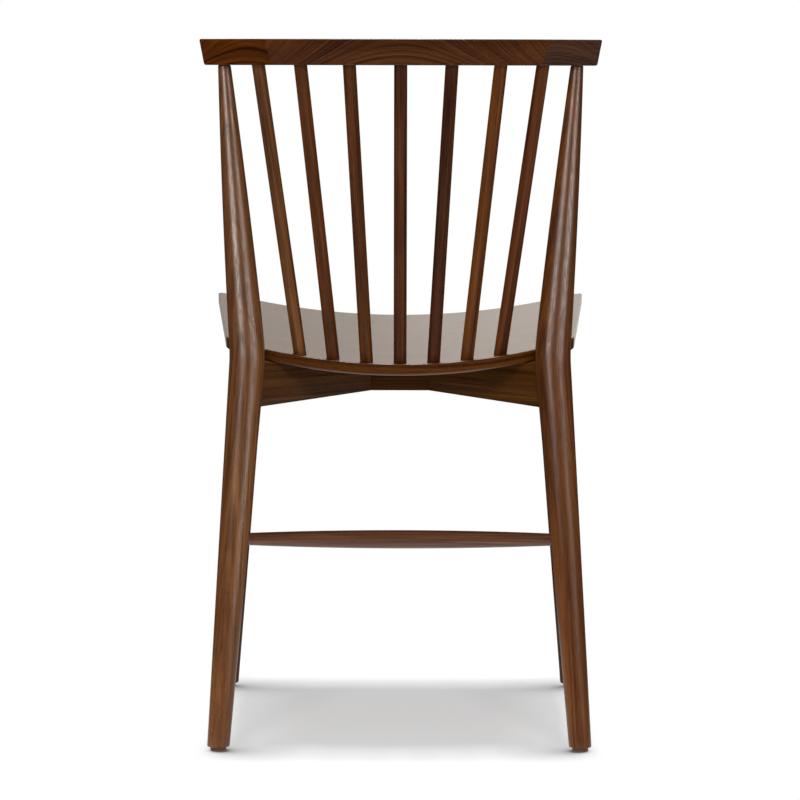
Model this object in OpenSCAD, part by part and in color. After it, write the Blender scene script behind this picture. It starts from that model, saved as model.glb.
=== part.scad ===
// Spindle back dining chair, a walnut frame with a dished seat.
// Millimetres. Z is up, the sitter faces -Y, and the sitter's left is +X.
// The origin is the middle of the footprint, on the floor.

/* [Overall] */
// Height of the top of the crest rail above the floor
overall_height = 790; // [770:1:820]
// Depth from the front edge of the seat to the back of the crest rail
overall_depth = 526; // [515:1:540]

/* [Seat] */
// Height of the seat's upper face at the middle of its rear edge
seat_height = 430; // [415:1:445]
// Fall of the seat towards the back, in degrees
seat_slope = 3.5; // [2.5:0.1:4.5]
// Thickness of the seat
seat_thickness = 13; // [13:0.5:18]
// Length of the seat along its slope
seat_depth = 449; // [440:1:455]
// Width of the seat across its front edge, before the corners are rounded
seat_front_width = 447; // [440:1:470]
// Width of the seat across its rear edge, before the corners are rounded
seat_rear_width = 384; // [370:1:400]
// Radius of the hollow that runs from front to back
seat_dish_radius = 845; // [700:5:1200]
// Plan radius of the rear edge
seat_rear_radius = 414; // [380:1:450]
// Plan radius of the front edge
seat_front_radius = 2600; // [1500:50:4000]
// Corner radius at the front
seat_front_corner = 18; // [10:1:30]
// Corner radius at the rear
seat_rear_corner = 30; // [20:1:40]

/* [Crest rail] */
// Width of the crest rail along its top edge
crest_width = 443; // [430:1:460]
// Height of the crest rail
crest_height = 28.5; // [26:0.5:36]
// Thickness of the crest rail from front to back
crest_thickness = 24; // [20:0.5:30]
// Plan radius of the middle of its underside
crest_radius = 505; // [450:5:700]
// Backward lean of its faces, in degrees
crest_rake = 10; // [0:1:14]
// Undercut of its two ends, in degrees from upright
crest_end_slant = 10.6; // [0:0.2:15]
// Distance of the left glue joint from the middle, on the top edge
left_joint_offset = 150; // [130:1:175]
// Distance of the right glue joint from the middle, on the top edge
right_joint_offset = 164; // [130:1:175]
// Slant of the glue joints, in degrees from upright
joint_slant = 17.6; // [10:0.2:20]
// Length of the loose tenon across each glue joint
loose_tenon_length = 36; // [24:1:44]
// Width of the loose tenon from front to back
loose_tenon_width = 14; // [10:0.5:16]
// Thickness of the loose tenon
loose_tenon_thickness = 5; // [4:0.5:6]
// Wood left above the loose tenon
loose_tenon_cover = 5.5; // [4:0.5:7]

/* [Spindles] */
// Diameter of a spindle
spindle_diameter = 14.5; // [12:0.5:18]
// Diameter of the tenons on spindles and back posts
spindle_tenon = 10; // [8:0.5:11]
// Length of a tenon in the seat
seat_tenon_length = 9; // [7:0.5:9]
// Length of a tenon in the crest rail
crest_tenon_length = 15; // [12:0.5:16]
// Distance from spindle to spindle along the seat
spindle_pitch = 37.4; // [34:0.2:40]
// Distance of the spindles' middles from the seat's rear edge
spindle_inset = 16.5; // [14:0.5:24]
// Distance of the inner pair from the middle, under the crest rail
inner_spindle_reach = 56; // [50:0.5:60]
// Distance of the second pair from the middle, under the crest rail
second_spindle_reach = 109.5; // [100:0.5:115]
// Distance of the outer pair from the middle, under the crest rail
outer_spindle_reach = 156; // [145:0.5:162]

/* [Rear legs] */
// Distance between the rear feet, middle to middle
rear_foot_spread = 404; // [380:1:430]
// Distance of the rear feet in front of the back of the crest rail
rear_foot_inset = 48; // [30:1:70]
// Distance between the two bends, middle to middle
bend_spread = 340; // [330:1:350]
// Height of the bend above the middle of the seat's rear edge
bend_rise = 10; // [2:1:20]
// Diameter of the rear leg at its bend
bend_diameter = 40; // [36:0.5:44]
// How far the rounded bend stands proud of the tapers that meet in it
bend_swell = 0.5; // [0.3:0.1:1.5]
// Distance between the posts where they meet the crest rail
post_spread = 388; // [378:1:396]
// Diameter of a post under the crest rail
post_top_diameter = 14; // [12:0.5:18]
// Swell of the post beyond a straight taper, on the radius
post_swell = 1.3; // [0:0.1:2]
// Diameter of all four feet
foot_diameter = 25; // [23:0.5:30]
// Gap between the seat's rear edge and the rear legs
seat_leg_gap = 0.7; // [0.5:0.1:0.9]

/* [Front legs] */
// Distance from the rear feet to the front feet, middle to middle
foot_base = 455; // [440:1:465]
// Distance between the front feet, middle to middle
front_foot_spread = 422; // [400:1:440]
// Distance between the tops of the front legs, middle to middle
front_top_spread = 360; // [345:1:370]
// How far the front legs run forward from top to foot
front_leg_run = 43; // [20:1:50]
// Diameter of a front leg at its top
front_top_diameter = 36; // [32:0.5:40]

/* [Seat frame] */
// Thickness of the two diagonal rails
rail_thickness = 25; // [20:0.5:30]
// Depth of the frame's lower edge below the middle of the seat
frame_drop = 49; // [46:0.5:60]
// Width of the glue blocks across their open faces
block_width = 66; // [56:1:80]
// Width of the blunt inner edge of the glue blocks
block_nose = 8; // [4:0.5:12]
// Thickness of the rail tenons
rail_tenon_thickness = 12; // [9:0.5:14]
// Height of the rail tenons
rail_tenon_height = 26; // [20:0.5:28]
// Reach of the rail tenons beyond the middle of a leg
rail_tenon_reach = 6; // [2:0.5:9]

/* [Stretchers] */
// Height of the stretchers' middles above the floor
stretcher_height = 210; // [180:1:260]
// Diameter of a stretcher at its middle
stretcher_diameter = 21.5; // [18:0.5:26]
// Diameter of a stretcher at its shoulders
stretcher_end_diameter = 13.2; // [11:0.2:16]
// Diameter of the stretcher tenons
stretcher_tenon = 10; // [8:0.5:10.5]
// Reach of the stretcher tenons beyond the middle of the piece they enter
stretcher_tenon_reach = 4; // [2:0.5:6]

/* [Glides] */
// Diameter of a glide
glide_diameter = 18; // [14:0.5:22]
// Height of a glide
glide_height = 5; // [4:0.5:8]
// Bevel round the glide's lower edge
glide_bevel = 0.8; // [0.2:0.1:1.5]
// Diameter of the nail's head
nail_head_diameter = 7; // [5:0.5:9]
// Thickness of the nail's head
nail_head_thickness = 1.2; // [0.8:0.1:1.5]
// Diameter of the nail's shank
nail_diameter = 2.5; // [2:0.1:3]
// Length of the nail above the glide
nail_length = 18; // [12:1:25]

/* [Seat screws] */
// Diameter of a screw's shank
screw_diameter = 4; // [3:0.5:5]
// Diameter of a screw's head
screw_head_diameter = 8; // [7:0.5:9]
// Height of a screw's head
screw_head_height = 2.5; // [2:0.1:3]
// Wood under the head of a screw
screw_grip = 20; // [16:0.5:22]
// Length of a screw in the seat
screw_bite = 9; // [7:0.5:9]
// Distance of the outer screws from the middle of a leg, along the rail
screw_setback = 52; // [46:1:70]

/* [Fits] */
// Clearance between a shoulder or a face and what it meets
face_gap = 0.1; // [0.05:0.01:0.2]
// Clearance on the radius or the half width of a tenon
tenon_gap = 0.1; // [0.05:0.01:0.2]
// Clearance at the bottom of a mortise or a bore
bottom_gap = 0.6; // [0.3:0.1:0.9]

/* [Hidden] */

$fn = 64;
large_fn = 1440;
arc_steps = 10;
edge_steps = 24;
taper_steps = 16;
rod_turn = 30;
far = 1000;
walnut = "#5d3a24";
walnut_warm = "#7a4a2b";
walnut_dark = "#43291b";
glide_brown = "#3b2a22";
steel = "#9a9a9a";

// Levels and radii
crest_bottom = overall_height - crest_height;
bend_height = seat_height + bend_rise;
foot_radius = foot_diameter / 2;
bend_radius = bend_diameter / 2;
taper_radius = bend_radius - bend_swell;
front_top_radius = front_top_diameter / 2;
tenon_radius = spindle_tenon / 2;
post_radius = post_top_diameter / 2;

// The seat's own frame has its origin on the upper face, at the middle of the rear edge
seat_y = -overall_depth / 2 + seat_depth * cos(seat_slope) + seat_thickness * sin(seat_slope);
function seat_to_row(p) = [
    p.x,
    seat_y + p.y * cos(seat_slope) + p.z * sin(seat_slope),
    seat_height - p.y * sin(seat_slope) + p.z * cos(seat_slope)
];
function row_to_seat(p) = [
    p.x,
    (p.y - seat_y) * cos(seat_slope) - (p.z - seat_height) * sin(seat_slope),
    (p.y - seat_y) * sin(seat_slope) + (p.z - seat_height) * cos(seat_slope)
];
function seat_face(x) = seat_dish_radius - sqrt(pow(seat_dish_radius, 2) - x * x);
function seat_underside(x) = seat_dish_radius - sqrt(pow(seat_dish_radius + seat_thickness, 2) - x * x);

// Outline of the seat: two bowed edges and two straight sides, joined by corner arcs
side_angle = atan((seat_front_width - seat_rear_width) / 2 / seat_depth);
side_normal = [cos(side_angle), sin(side_angle)];
side_along = [-sin(side_angle), cos(side_angle)];
side_offset = seat_rear_width / 2 * cos(side_angle);
rear_arc_center = [0, -seat_rear_radius];
front_arc_center = [0, seat_front_radius - seat_depth];
function corner_center(arc_center, arc_radius, corner, toward) =
    let (across = side_offset - corner - arc_center * side_normal)
    arc_center + across * side_normal
        + toward * sqrt(pow(arc_radius - corner, 2) - across * across) * side_along;
rear_corner_center = corner_center(rear_arc_center, seat_rear_radius, seat_rear_corner, 1);
front_corner_center = corner_center(front_arc_center, seat_front_radius, seat_front_corner, -1);
function bearing(from, to) = atan2(to.y - from.y, to.x - from.x);
rear_corner_angle = bearing(rear_arc_center, rear_corner_center);
front_corner_angle = bearing(front_arc_center, front_corner_center);
function arc(center, radius, first, last, steps) = [
    for (i = [0:steps])
        let (a = first + (last - first) * i / steps) center + radius * [cos(a), sin(a)]
];
function mirrored(points) = [for (i = [len(points) - 1:-1:0]) [-points[i].x, points[i].y]];
seat_half_outline = concat(
    arc(front_arc_center, seat_front_radius, -90, front_corner_angle, arc_steps),
    arc(front_corner_center, seat_front_corner, front_corner_angle, side_angle, arc_steps),
    arc(rear_corner_center, seat_rear_corner, side_angle, rear_corner_angle, arc_steps),
    arc(rear_arc_center, seat_rear_radius, rear_corner_angle, 90, edge_steps)
);

// The crest rail is part of a ring about an upright axis in front of it
crest_lean = crest_height * tan(crest_rake);
crest_axis_y = overall_depth / 2 - crest_radius - crest_thickness / 2 - crest_lean;
function under_crest(x) = [x, crest_axis_y + sqrt(pow(crest_radius, 2) - x * x), crest_bottom];
end_undercut = crest_height * tan(crest_end_slant);
joint_run = crest_height * tan(joint_slant);

// Spindles, counted from the sitter's left
spindle_count = 7;
reaches = [0, inner_spindle_reach, second_spindle_reach, outer_spindle_reach];
function spindle_place(i) = (spindle_count + 1) / 2 - i;
function spindle_foot(i) =
    let (x = spindle_place(i) * spindle_pitch, r = seat_rear_radius - spindle_inset)
    seat_to_row([x, sqrt(r * r - x * x) - seat_rear_radius, seat_face(x)]);
function spindle_head(i) = under_crest(sign(spindle_place(i)) * reaches[abs(spindle_place(i))]);

// Leg axes on the sitter's left
rear_foot = [rear_foot_spread / 2, overall_depth / 2 - rear_foot_inset, 0];
bend_reach = seat_rear_radius + seat_leg_gap + bend_radius;
bend = [
    bend_spread / 2,
    seat_y - seat_rear_radius * cos(seat_slope) + sqrt(pow(bend_reach, 2) - pow(bend_spread / 2, 2)),
    bend_height
];
post_top = under_crest(post_spread / 2);
front_foot = [front_foot_spread / 2, rear_foot.y - foot_base, 0];
front_top = [front_top_spread / 2, front_foot.y + front_leg_run, bend_height];
function at_height(a, b, z) = a + (b - a) * (z - a.z) / (b.z - a.z);
function unit(v) = v / norm(v);
front_leg_top = at_height(front_foot, front_top, seat_height + seat_depth / 4);
front_leg_taper = (front_top_radius - foot_radius) / bend_height;

// The seat frame lies in the seat's own frame
frame_middle = -(frame_drop + seat_thickness) / 2;
rear_rail_end = at_height(row_to_seat(rear_foot), row_to_seat(bend), frame_middle);
front_rail_end = at_height(row_to_seat(front_foot), row_to_seat(front_top), frame_middle);
rail_start = [rear_rail_end.x, rear_rail_end.y];
rail_finish = [-front_rail_end.x, front_rail_end.y];
rail_length = norm(rail_finish - rail_start);
rail_angle = bearing(rail_start, rail_finish);
crossing_y = rail_start.y - (rail_start.y - rail_finish.y) * rail_start.x / (rail_start.x - rail_finish.x);
rail_rise = (rail_start.y - rail_finish.y) / (rail_start.x - rail_finish.x);
block_face_offset = (rail_thickness / 2 + face_gap) * sqrt(1 + pow(rail_rise, 2));
block_nose_y = block_face_offset + block_nose / 2 * rail_rise;
block_face_y = block_face_offset + block_width / 2 * rail_rise;
block_screw_y = (block_nose_y + 2 * block_face_y) / 3;

// Screw places in the seat's plan: four on the rails and one in each glue block
rail_way = unit(rail_finish - rail_start);
rear_screw = rail_start + screw_setback * rail_way;
front_screw = rail_finish - screw_setback * rail_way;
screw_places = [
    rear_screw, [-rear_screw.x, rear_screw.y],
    front_screw, [-front_screw.x, front_screw.y],
    [0, crossing_y + block_screw_y], [0, crossing_y - block_screw_y]
];

// Stretcher axes on the sitter's left
side_rear = at_height(rear_foot, bend, stretcher_height);
side_front = at_height(front_foot, front_top, stretcher_height);
side_middle = (side_rear + side_front) / 2;

// Feet, counted rear left, rear right, front left, front right
function across(p) = [-p.x, p.y, p.z];
rear_glide = at_height(rear_foot, bend, glide_height);
front_glide = at_height(front_foot, front_top, glide_height);
glide_places = [rear_glide, across(rear_glide), front_glide, across(front_glide)];

module in_seat() {
    translate([0, seat_y, seat_height]) rotate([-seat_slope, 0, 0]) children();
}

module along(a, b) {
    way = b - a;
    translate(a) rotate([0, acos(way.z / norm(way)), atan2(way.y, way.x)]) children();
}

module rod(a, b, r) {
    tapered_rod(a, b, r, r);
}

module tapered_rod(a, b, r_a, r_b) {
    along(a, b) rotate([0, 0, rod_turn]) cylinder(h = norm(b - a), r1 = r_a, r2 = r_b);
}

// Everything above the seat's underside or, with a smaller radius, above its upper face
module dish(radius) {
    in_seat() translate([0, 0, seat_dish_radius]) rotate([90, 0, 0])
        cylinder(h = 2 * far, r = radius, center = true, $fn = large_fn);
}

module block_above(z) {
    translate([-far, -far, z]) cube([2 * far, 2 * far, far]);
}

module block_below(z) {
    translate([-far, -far, z - far]) cube([2 * far, 2 * far, far]);
}

// A tenon and, with clearances, its bore
module spindle_tenon_in_seat(i, radial = 0, deep = 0) {
    way = unit(spindle_head(i) - spindle_foot(i));
    rod(spindle_foot(i) - (seat_tenon_length + deep) * way, spindle_foot(i) + seat_tenon_length * way,
        tenon_radius + radial);
}

module spindle_tenon_in_crest(i, radial = 0, deep = 0) {
    way = unit(spindle_head(i) - spindle_foot(i));
    rod(spindle_head(i) - crest_tenon_length * way, spindle_head(i) + (crest_tenon_length + deep) * way,
        tenon_radius + radial);
}

module post_tenon(radial = 0, deep = 0) {
    way = unit(post_top - bend);
    rod(post_top - crest_tenon_length * way, post_top + (crest_tenon_length + deep) * way,
        tenon_radius + radial);
}

module seat() {
    color(walnut_warm) difference() {
        intersection() {
            in_seat() translate([0, 0, -2 * seat_thickness])
                linear_extrude(2 * seat_thickness + 2 * seat_face(seat_front_width / 2))
                    polygon(concat(seat_half_outline, mirrored(seat_half_outline)));
            dish(seat_dish_radius + seat_thickness);
        }
        dish(seat_dish_radius);
        for (i = [1:spindle_count]) spindle_tenon_in_seat(i, tenon_gap, bottom_gap);
        for (p = screw_places) screw_shank(p, tenon_gap, bottom_gap);
    }
}

// Ring of the crest rail, kept between two slanted cuts given on its top edge
module crest_piece(left_top, left_run, right_top, right_run) {
    low = crest_bottom;
    high = overall_height;
    difference() {
        intersection() {
            translate([0, crest_axis_y, 0]) rotate_extrude($fn = large_fn) polygon([
                [crest_radius - crest_thickness / 2, low],
                [crest_radius + crest_thickness / 2, low],
                [crest_radius + crest_thickness / 2 + crest_lean, high],
                [crest_radius - crest_thickness / 2 + crest_lean, high]
            ]);
            translate([0, overall_depth / 2, 0]) rotate([90, 0, 0]) linear_extrude(crest_radius) polygon([
                [right_top + right_run, low], [left_top - left_run, low],
                [left_top, high], [right_top, high]
            ]);
        }
        for (i = [1:spindle_count]) spindle_tenon_in_crest(i, tenon_gap, bottom_gap);
        post_tenon(tenon_gap, bottom_gap);
        mirror([1, 0, 0]) post_tenon(tenon_gap, bottom_gap);
        loose_tenon(left_joint_offset, tenon_gap, bottom_gap);
        loose_tenon(-right_joint_offset, tenon_gap, bottom_gap);
    }
}

module crest_center() {
    color(walnut)
        crest_piece(left_joint_offset - face_gap, joint_run, -right_joint_offset + face_gap, joint_run);
}

module crest_left_end() {
    color(walnut_warm) crest_piece(crest_width / 2, end_undercut, left_joint_offset, -joint_run);
}

module crest_right_end() {
    color(walnut_dark) crest_piece(-right_joint_offset, -joint_run, -crest_width / 2, end_undercut);
}

// Flat tenon across a glue joint, placed by the joint's distance on the top edge
module loose_tenon(joint_x, radial = 0, deep = 0) {
    low = overall_height - loose_tenon_cover - loose_tenon_thickness;
    drop = loose_tenon_cover + loose_tenon_thickness / 2;
    x = joint_x - sign(joint_x) * drop * tan(joint_slant);
    r = crest_radius + (crest_height - drop) * tan(crest_rake);
    translate([0, crest_axis_y, low - radial]) rotate([0, 0, -asin(x / r)])
        translate([-loose_tenon_length / 2 - deep, r - loose_tenon_width / 2 - radial, 0])
            cube([loose_tenon_length + 2 * deep, loose_tenon_width + 2 * radial,
                loose_tenon_thickness + 2 * radial]);
}

module crest_loose_tenons() {
    color(walnut_warm) {
        loose_tenon(left_joint_offset);
        loose_tenon(-right_joint_offset);
    }
}

module spindle(i) {
    way = unit(spindle_head(i) - spindle_foot(i));
    color(i % 2 == 0 ? walnut_dark : walnut_warm) union() {
        difference() {
            intersection() {
                rod(spindle_foot(i) - spindle_diameter * way, spindle_head(i) + spindle_diameter * way,
                    spindle_diameter / 2);
                dish(seat_dish_radius - face_gap);
            }
            block_above(crest_bottom - face_gap);
        }
        spindle_tenon_in_seat(i);
        spindle_tenon_in_crest(i);
    }
}

function post_taper(t) =
    taper_radius + (post_radius - taper_radius) * t + 4 * post_swell * t * (1 - t);

// Rear leg and post in one bent piece; grown by extra, it is the cut that fits round it
module rear_leg_shape(extra = 0) {
    post_length = norm(post_top - bend);
    past_crest = 1.02;
    tapered_rod(rear_foot, bend, foot_radius + extra, taper_radius + extra);
    translate(bend) sphere(r = bend_radius + extra);
    along(bend, post_top) rotate_extrude() polygon(concat(
        [[0, 0]],
        [for (i = [0:taper_steps])
            let (t = past_crest * i / taper_steps) [post_taper(t) + extra, t * post_length]],
        [[0, past_crest * post_length]]
    ));
}

module rear_leg_left() {
    color(walnut) difference() {
        union() {
            difference() {
                rear_leg_shape();
                block_above(crest_bottom - face_gap);
            }
            post_tenon();
        }
        block_below(glide_height);
        rail_tenon(rail_start, rail_way, tenon_gap, bottom_gap);
        side_stretcher_tenon(side_rear, side_front, tenon_gap, bottom_gap);
        nail_shank(rear_glide, tenon_gap, bottom_gap);
    }
}

module front_leg_shape(extra = 0) {
    tapered_rod(front_foot, front_leg_top, foot_radius + extra,
        foot_radius + front_leg_taper * front_leg_top.z + extra);
}

module rear_leg_right() {
    mirror([1, 0, 0]) rear_leg_left();
}

module front_leg_left() {
    color(walnut_dark) difference() {
        front_leg_shape();
        dish(seat_dish_radius + seat_thickness + face_gap);
        block_below(glide_height);
        mirror([1, 0, 0]) rail_tenon(rail_finish, -rail_way, tenon_gap, bottom_gap);
        side_stretcher_tenon(side_front, side_rear, tenon_gap, bottom_gap);
        nail_shank(front_glide, tenon_gap, bottom_gap);
    }
}

module front_leg_right() {
    mirror([1, 0, 0]) front_leg_left();
}

// Flat tenon of a diagonal rail at one leg; way points from the leg into the rail
module rail_tenon(leg_middle, way, radial = 0, deep = 0) {
    root = rail_thickness + bend_radius;
    reach = rail_tenon_reach + deep;
    half_width = rail_tenon_thickness / 2 + radial;
    half_height = rail_tenon_height / 2 + radial;
    in_seat() translate([leg_middle.x, leg_middle.y, frame_middle]) rotate([0, 0, atan2(way.y, way.x)])
        translate([-reach, -half_width, -half_height])
            cube([root + reach, 2 * half_width, 2 * half_height]);
}

// Straight board from inside one leg to inside the other, from low to high in the seat's frame
module rail_board(low, high, extra = 0) {
    width = rail_thickness + 2 * extra;
    start = rail_thickness / 4;
    in_seat() translate([rail_start.x, rail_start.y, low]) rotate([0, 0, rail_angle])
        translate([start, -width / 2, 0]) cube([rail_length - 2 * start, width, high - low]);
}

// Rail from the rear left leg to the front right leg, notched for the other rail
module rail(lap_low, lap_high) {
    color(walnut_dark) difference() {
        union() {
            difference() {
                rail_board(-frame_drop, far / 10);
                rear_leg_shape(face_gap);
                mirror([1, 0, 0]) front_leg_shape(face_gap);
            }
            rail_tenon(rail_start, rail_way);
            rail_tenon(rail_finish, -rail_way);
        }
        dish(seat_dish_radius + seat_thickness + face_gap);
        mirror([1, 0, 0]) rail_board(lap_low, lap_high, face_gap);
        screw_hole(rear_screw);
        screw_hole(front_screw);
    }
}

module diagonal_rail_left() {
    rail(-far, frame_middle);
}

module diagonal_rail_right() {
    mirror([1, 0, 0]) rail(frame_middle, far);
}

// Wedge between the two rails behind their crossing, or in front of it
module glue_block(toward) {
    color(walnut_dark) difference() {
        in_seat() translate([0, crossing_y, -frame_drop]) linear_extrude(2 * frame_drop) polygon([
            [-block_nose / 2, toward * block_nose_y], [-block_width / 2, toward * block_face_y],
            [block_width / 2, toward * block_face_y], [block_nose / 2, toward * block_nose_y]
        ]);
        dish(seat_dish_radius + seat_thickness + face_gap);
        screw_hole([0, crossing_y + toward * block_screw_y]);
    }
}

module rear_glue_block() {
    glue_block(1);
}

module front_glue_block() {
    glue_block(-1);
}

// Turned piece from a to b, thickest in the middle
module swelled_rod(a, b) {
    length = norm(b - a);
    end_radius = stretcher_end_diameter / 2;
    swell = stretcher_diameter / 2 - end_radius;
    along(a, b) rotate_extrude() polygon(concat(
        [[0, 0]],
        [for (i = [0:taper_steps])
            let (t = i / taper_steps) [end_radius + 4 * swell * t * (1 - t), t * length]],
        [[0, length]]
    ));
}

module side_stretcher_tenon(leg_middle, other, radial = 0, deep = 0) {
    way = unit(other - leg_middle);
    rod(leg_middle - (stretcher_tenon_reach + deep) * way, leg_middle + 2 * bend_radius * way,
        stretcher_tenon / 2 + radial);
}

module medial_tenon(radial = 0, deep = 0) {
    way = [1, 0, 0];
    rod(side_middle - 2 * stretcher_diameter * way, side_middle + (stretcher_tenon_reach + deep) * way,
        stretcher_tenon / 2 + radial);
}

module side_stretcher_left() {
    color(walnut) difference() {
        union() {
            difference() {
                swelled_rod(side_rear, side_front);
                rear_leg_shape(face_gap);
                front_leg_shape(face_gap);
            }
            side_stretcher_tenon(side_rear, side_front);
            side_stretcher_tenon(side_front, side_rear);
        }
        medial_tenon(tenon_gap, bottom_gap);
    }
}

module side_stretcher_right() {
    mirror([1, 0, 0]) side_stretcher_left();
}

// Body of a side stretcher, grown to the cut that the medial stretcher's shoulder fits
module side_stretcher_cut() {
    rod(side_rear, side_front, stretcher_diameter / 2 + face_gap);
}

module medial_stretcher() {
    color(walnut_warm) union() {
        difference() {
            swelled_rod(side_middle, across(side_middle));
            side_stretcher_cut();
            mirror([1, 0, 0]) side_stretcher_cut();
        }
        medial_tenon();
        mirror([1, 0, 0]) medial_tenon();
    }
}

// Screw parts at a place in the seat's plan, square to the seat
module screw_shank(place, radial = 0, deep = 0) {
    foot = seat_underside(place.x);
    in_seat() translate([place.x, place.y, foot - screw_grip])
        cylinder(h = screw_grip + screw_bite + deep, r = screw_diameter / 2 + radial);
}

module screw_hole(place) {
    shank = screw_diameter / 2 + 2 * tenon_gap;
    head = screw_head_diameter / 2 + 2 * tenon_gap;
    top = 2 * frame_drop + seat_underside(place.x);
    in_seat() translate([place.x, place.y, -2 * frame_drop]) {
        cylinder(h = top + seat_thickness, r = shank);
        cylinder(h = top - screw_grip, r = head);
    }
}

module seat_screws() {
    slot = screw_diameter / 4;
    color(steel) for (place = screw_places) difference() {
        union() {
            screw_shank(place);
            in_seat() translate([place.x, place.y, seat_underside(place.x) - screw_grip - screw_head_height])
                cylinder(h = screw_head_height - face_gap, r = screw_head_diameter / 2);
            in_seat() translate([place.x, place.y, seat_underside(place.x) - screw_grip - screw_head_height / 2])
                cylinder(h = screw_head_height, r = screw_diameter / 2);
        }
        in_seat() translate([place.x, place.y, seat_underside(place.x) - screw_grip - screw_head_height])
            for (turn = [0, 90]) rotate([0, 0, turn])
                cube([screw_head_diameter * 0.6, slot, screw_head_height], center = true);
    }
}

// Nail parts under one foot
module nail_shank(place, radial = 0, deep = 0) {
    head_top = glide_height / 2;
    translate([place.x, place.y, head_top])
        cylinder(h = glide_height - head_top + nail_length + deep, r = nail_diameter / 2 + radial);
}

module nail_head(place, radial = 0, below = 0) {
    head_top = glide_height / 2;
    translate([place.x, place.y, head_top - nail_head_thickness - below])
        cylinder(h = nail_head_thickness + below, r = nail_head_diameter / 2 + radial);
}

module glide(place) {
    radius = glide_diameter / 2;
    color(glide_brown) difference() {
        union() {
            translate([place.x, place.y, glide_bevel])
                cylinder(h = glide_height - glide_bevel - face_gap, r = radius);
            translate([place.x, place.y, 0]) cylinder(h = glide_bevel, r1 = radius - glide_bevel, r2 = radius);
        }
        nail_shank(place, tenon_gap, bottom_gap);
        nail_head(place, 2 * tenon_gap, glide_height);
    }
}

module glide_nails() {
    color(steel) for (place = glide_places) {
        nail_shank(place);
        nail_head(place);
    }
}

seat();
crest_center();
crest_left_end();
crest_right_end();
crest_loose_tenons();
for (i = [1:spindle_count])
    spindle(i);
rear_leg_left();
rear_leg_right();
front_leg_left();
front_leg_right();
diagonal_rail_left();
diagonal_rail_right();
rear_glue_block();
front_glue_block();
side_stretcher_left();
side_stretcher_right();
medial_stretcher();
seat_screws();
glide(glide_places[0]);  // glide_rear_left
glide(glide_places[1]);  // glide_rear_right
glide(glide_places[2]);  // glide_front_left
glide(glide_places[3]);  // glide_front_right
glide_nails();
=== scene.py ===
"""Looks of a spindle back dining chair in walnut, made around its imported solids.

Sizes are in millimetres until a mesh is made, in the same frame as the solids: Z is up, the sitter
faces -Y, the sitter's left is +X, and the origin is the middle of the footprint on the floor.
"""

import logging
import math
from dataclasses import dataclass, replace
from enum import Enum
from typing import Callable, Sequence

import bmesh
import bpy
from mathutils import Euler, Matrix, Vector


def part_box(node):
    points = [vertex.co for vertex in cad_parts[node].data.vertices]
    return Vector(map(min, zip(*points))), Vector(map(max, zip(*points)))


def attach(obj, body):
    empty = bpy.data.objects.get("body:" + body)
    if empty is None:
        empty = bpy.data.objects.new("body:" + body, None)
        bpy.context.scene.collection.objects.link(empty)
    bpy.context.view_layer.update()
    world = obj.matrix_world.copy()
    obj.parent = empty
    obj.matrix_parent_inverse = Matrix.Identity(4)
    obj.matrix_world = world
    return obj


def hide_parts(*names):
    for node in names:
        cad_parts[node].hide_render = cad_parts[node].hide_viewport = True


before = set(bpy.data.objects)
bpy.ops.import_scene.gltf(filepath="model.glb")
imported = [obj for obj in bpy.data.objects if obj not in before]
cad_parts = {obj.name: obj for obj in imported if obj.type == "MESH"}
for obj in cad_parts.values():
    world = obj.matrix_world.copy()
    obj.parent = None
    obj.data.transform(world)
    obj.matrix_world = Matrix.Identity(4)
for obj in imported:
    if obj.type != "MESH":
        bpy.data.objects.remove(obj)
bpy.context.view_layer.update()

LOG = logging.getLogger("chair")
MM = 0.001
BODY = "root"
GRAIN = "grain"
WHITE = (1.0, 1.0, 1.0, 1.0)
Point = tuple[float, float, float]
Plan = tuple[float, float]
Tree = bpy.types.NodeTree
Socket = bpy.types.NodeSocket
Material = bpy.types.Material
Piece = bpy.types.Object
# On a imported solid, corners closer than this in millimetres are one, and so are faces that turn
# less than this in degrees.
SAME_CORNER = 0.002
SAME_FACE = 1.0
# Turns of the rings that round an arris, from one face to the next.
QUARTER = [math.pi / 2 * k / 4 for k in range(5)]


class Side(Enum):
    """The sitter's left and right, with the sign of X on that side."""

    LEFT = 1
    RIGHT = -1

    @property
    def word(self) -> str:
        """The side as it stands in a piece's name."""
        return self.name.lower()


def linear(code: str) -> tuple[float, float, float, float]:
    """Turns a colour from sRGB to linear.

    Args:
        code: the colour as #rrggbb.

    Returns:
        Linear red, green and blue, and an alpha of 1.
    """
    parts = [int(code[i:i + 2], 16) / 255 for i in (1, 3, 5)]
    values = [p / 12.92 if p <= 0.04045 else ((p + 0.055) / 1.055) ** 2.4 for p in parts]
    return (values[0], values[1], values[2], 1.0)


def add(tree: Tree, kind: str, inputs: dict | None = None, **settings) -> bpy.types.Node:
    """Adds a node with its settings, values and links.

    Args:
        tree: the node tree.
        kind: the node's type.
        inputs: for each input, by its name or index, a value, an output socket, or a node that
            stands for its first output.
        settings: the node's own properties.

    Returns:
        The new node.
    """
    node = tree.nodes.new(kind)
    for name, value in settings.items():
        setattr(node, name, value)
    for key, value in (inputs or {}).items():
        if isinstance(value, bpy.types.Node):
            value = value.outputs[0]
        if isinstance(value, Socket):
            tree.links.new(value, node.inputs[key])
        else:
            node.inputs[key].default_value = value
    return node


def between(ends: Plan) -> dict[str, float]:
    """The inputs that stretch a range in millimetres over a Map Range node in metres."""
    return {"From Min": ends[0] * MM, "From Max": ends[1] * MM}


def blank_material(name: str) -> tuple[Material, Tree]:
    """Starts a material.

    Args:
        name: the material's name.

    Returns:
        The material, and its node tree without nodes.
    """
    material = bpy.data.materials.new(name)
    material.use_nodes = True
    material.node_tree.nodes.clear()
    return material, material.node_tree


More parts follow.
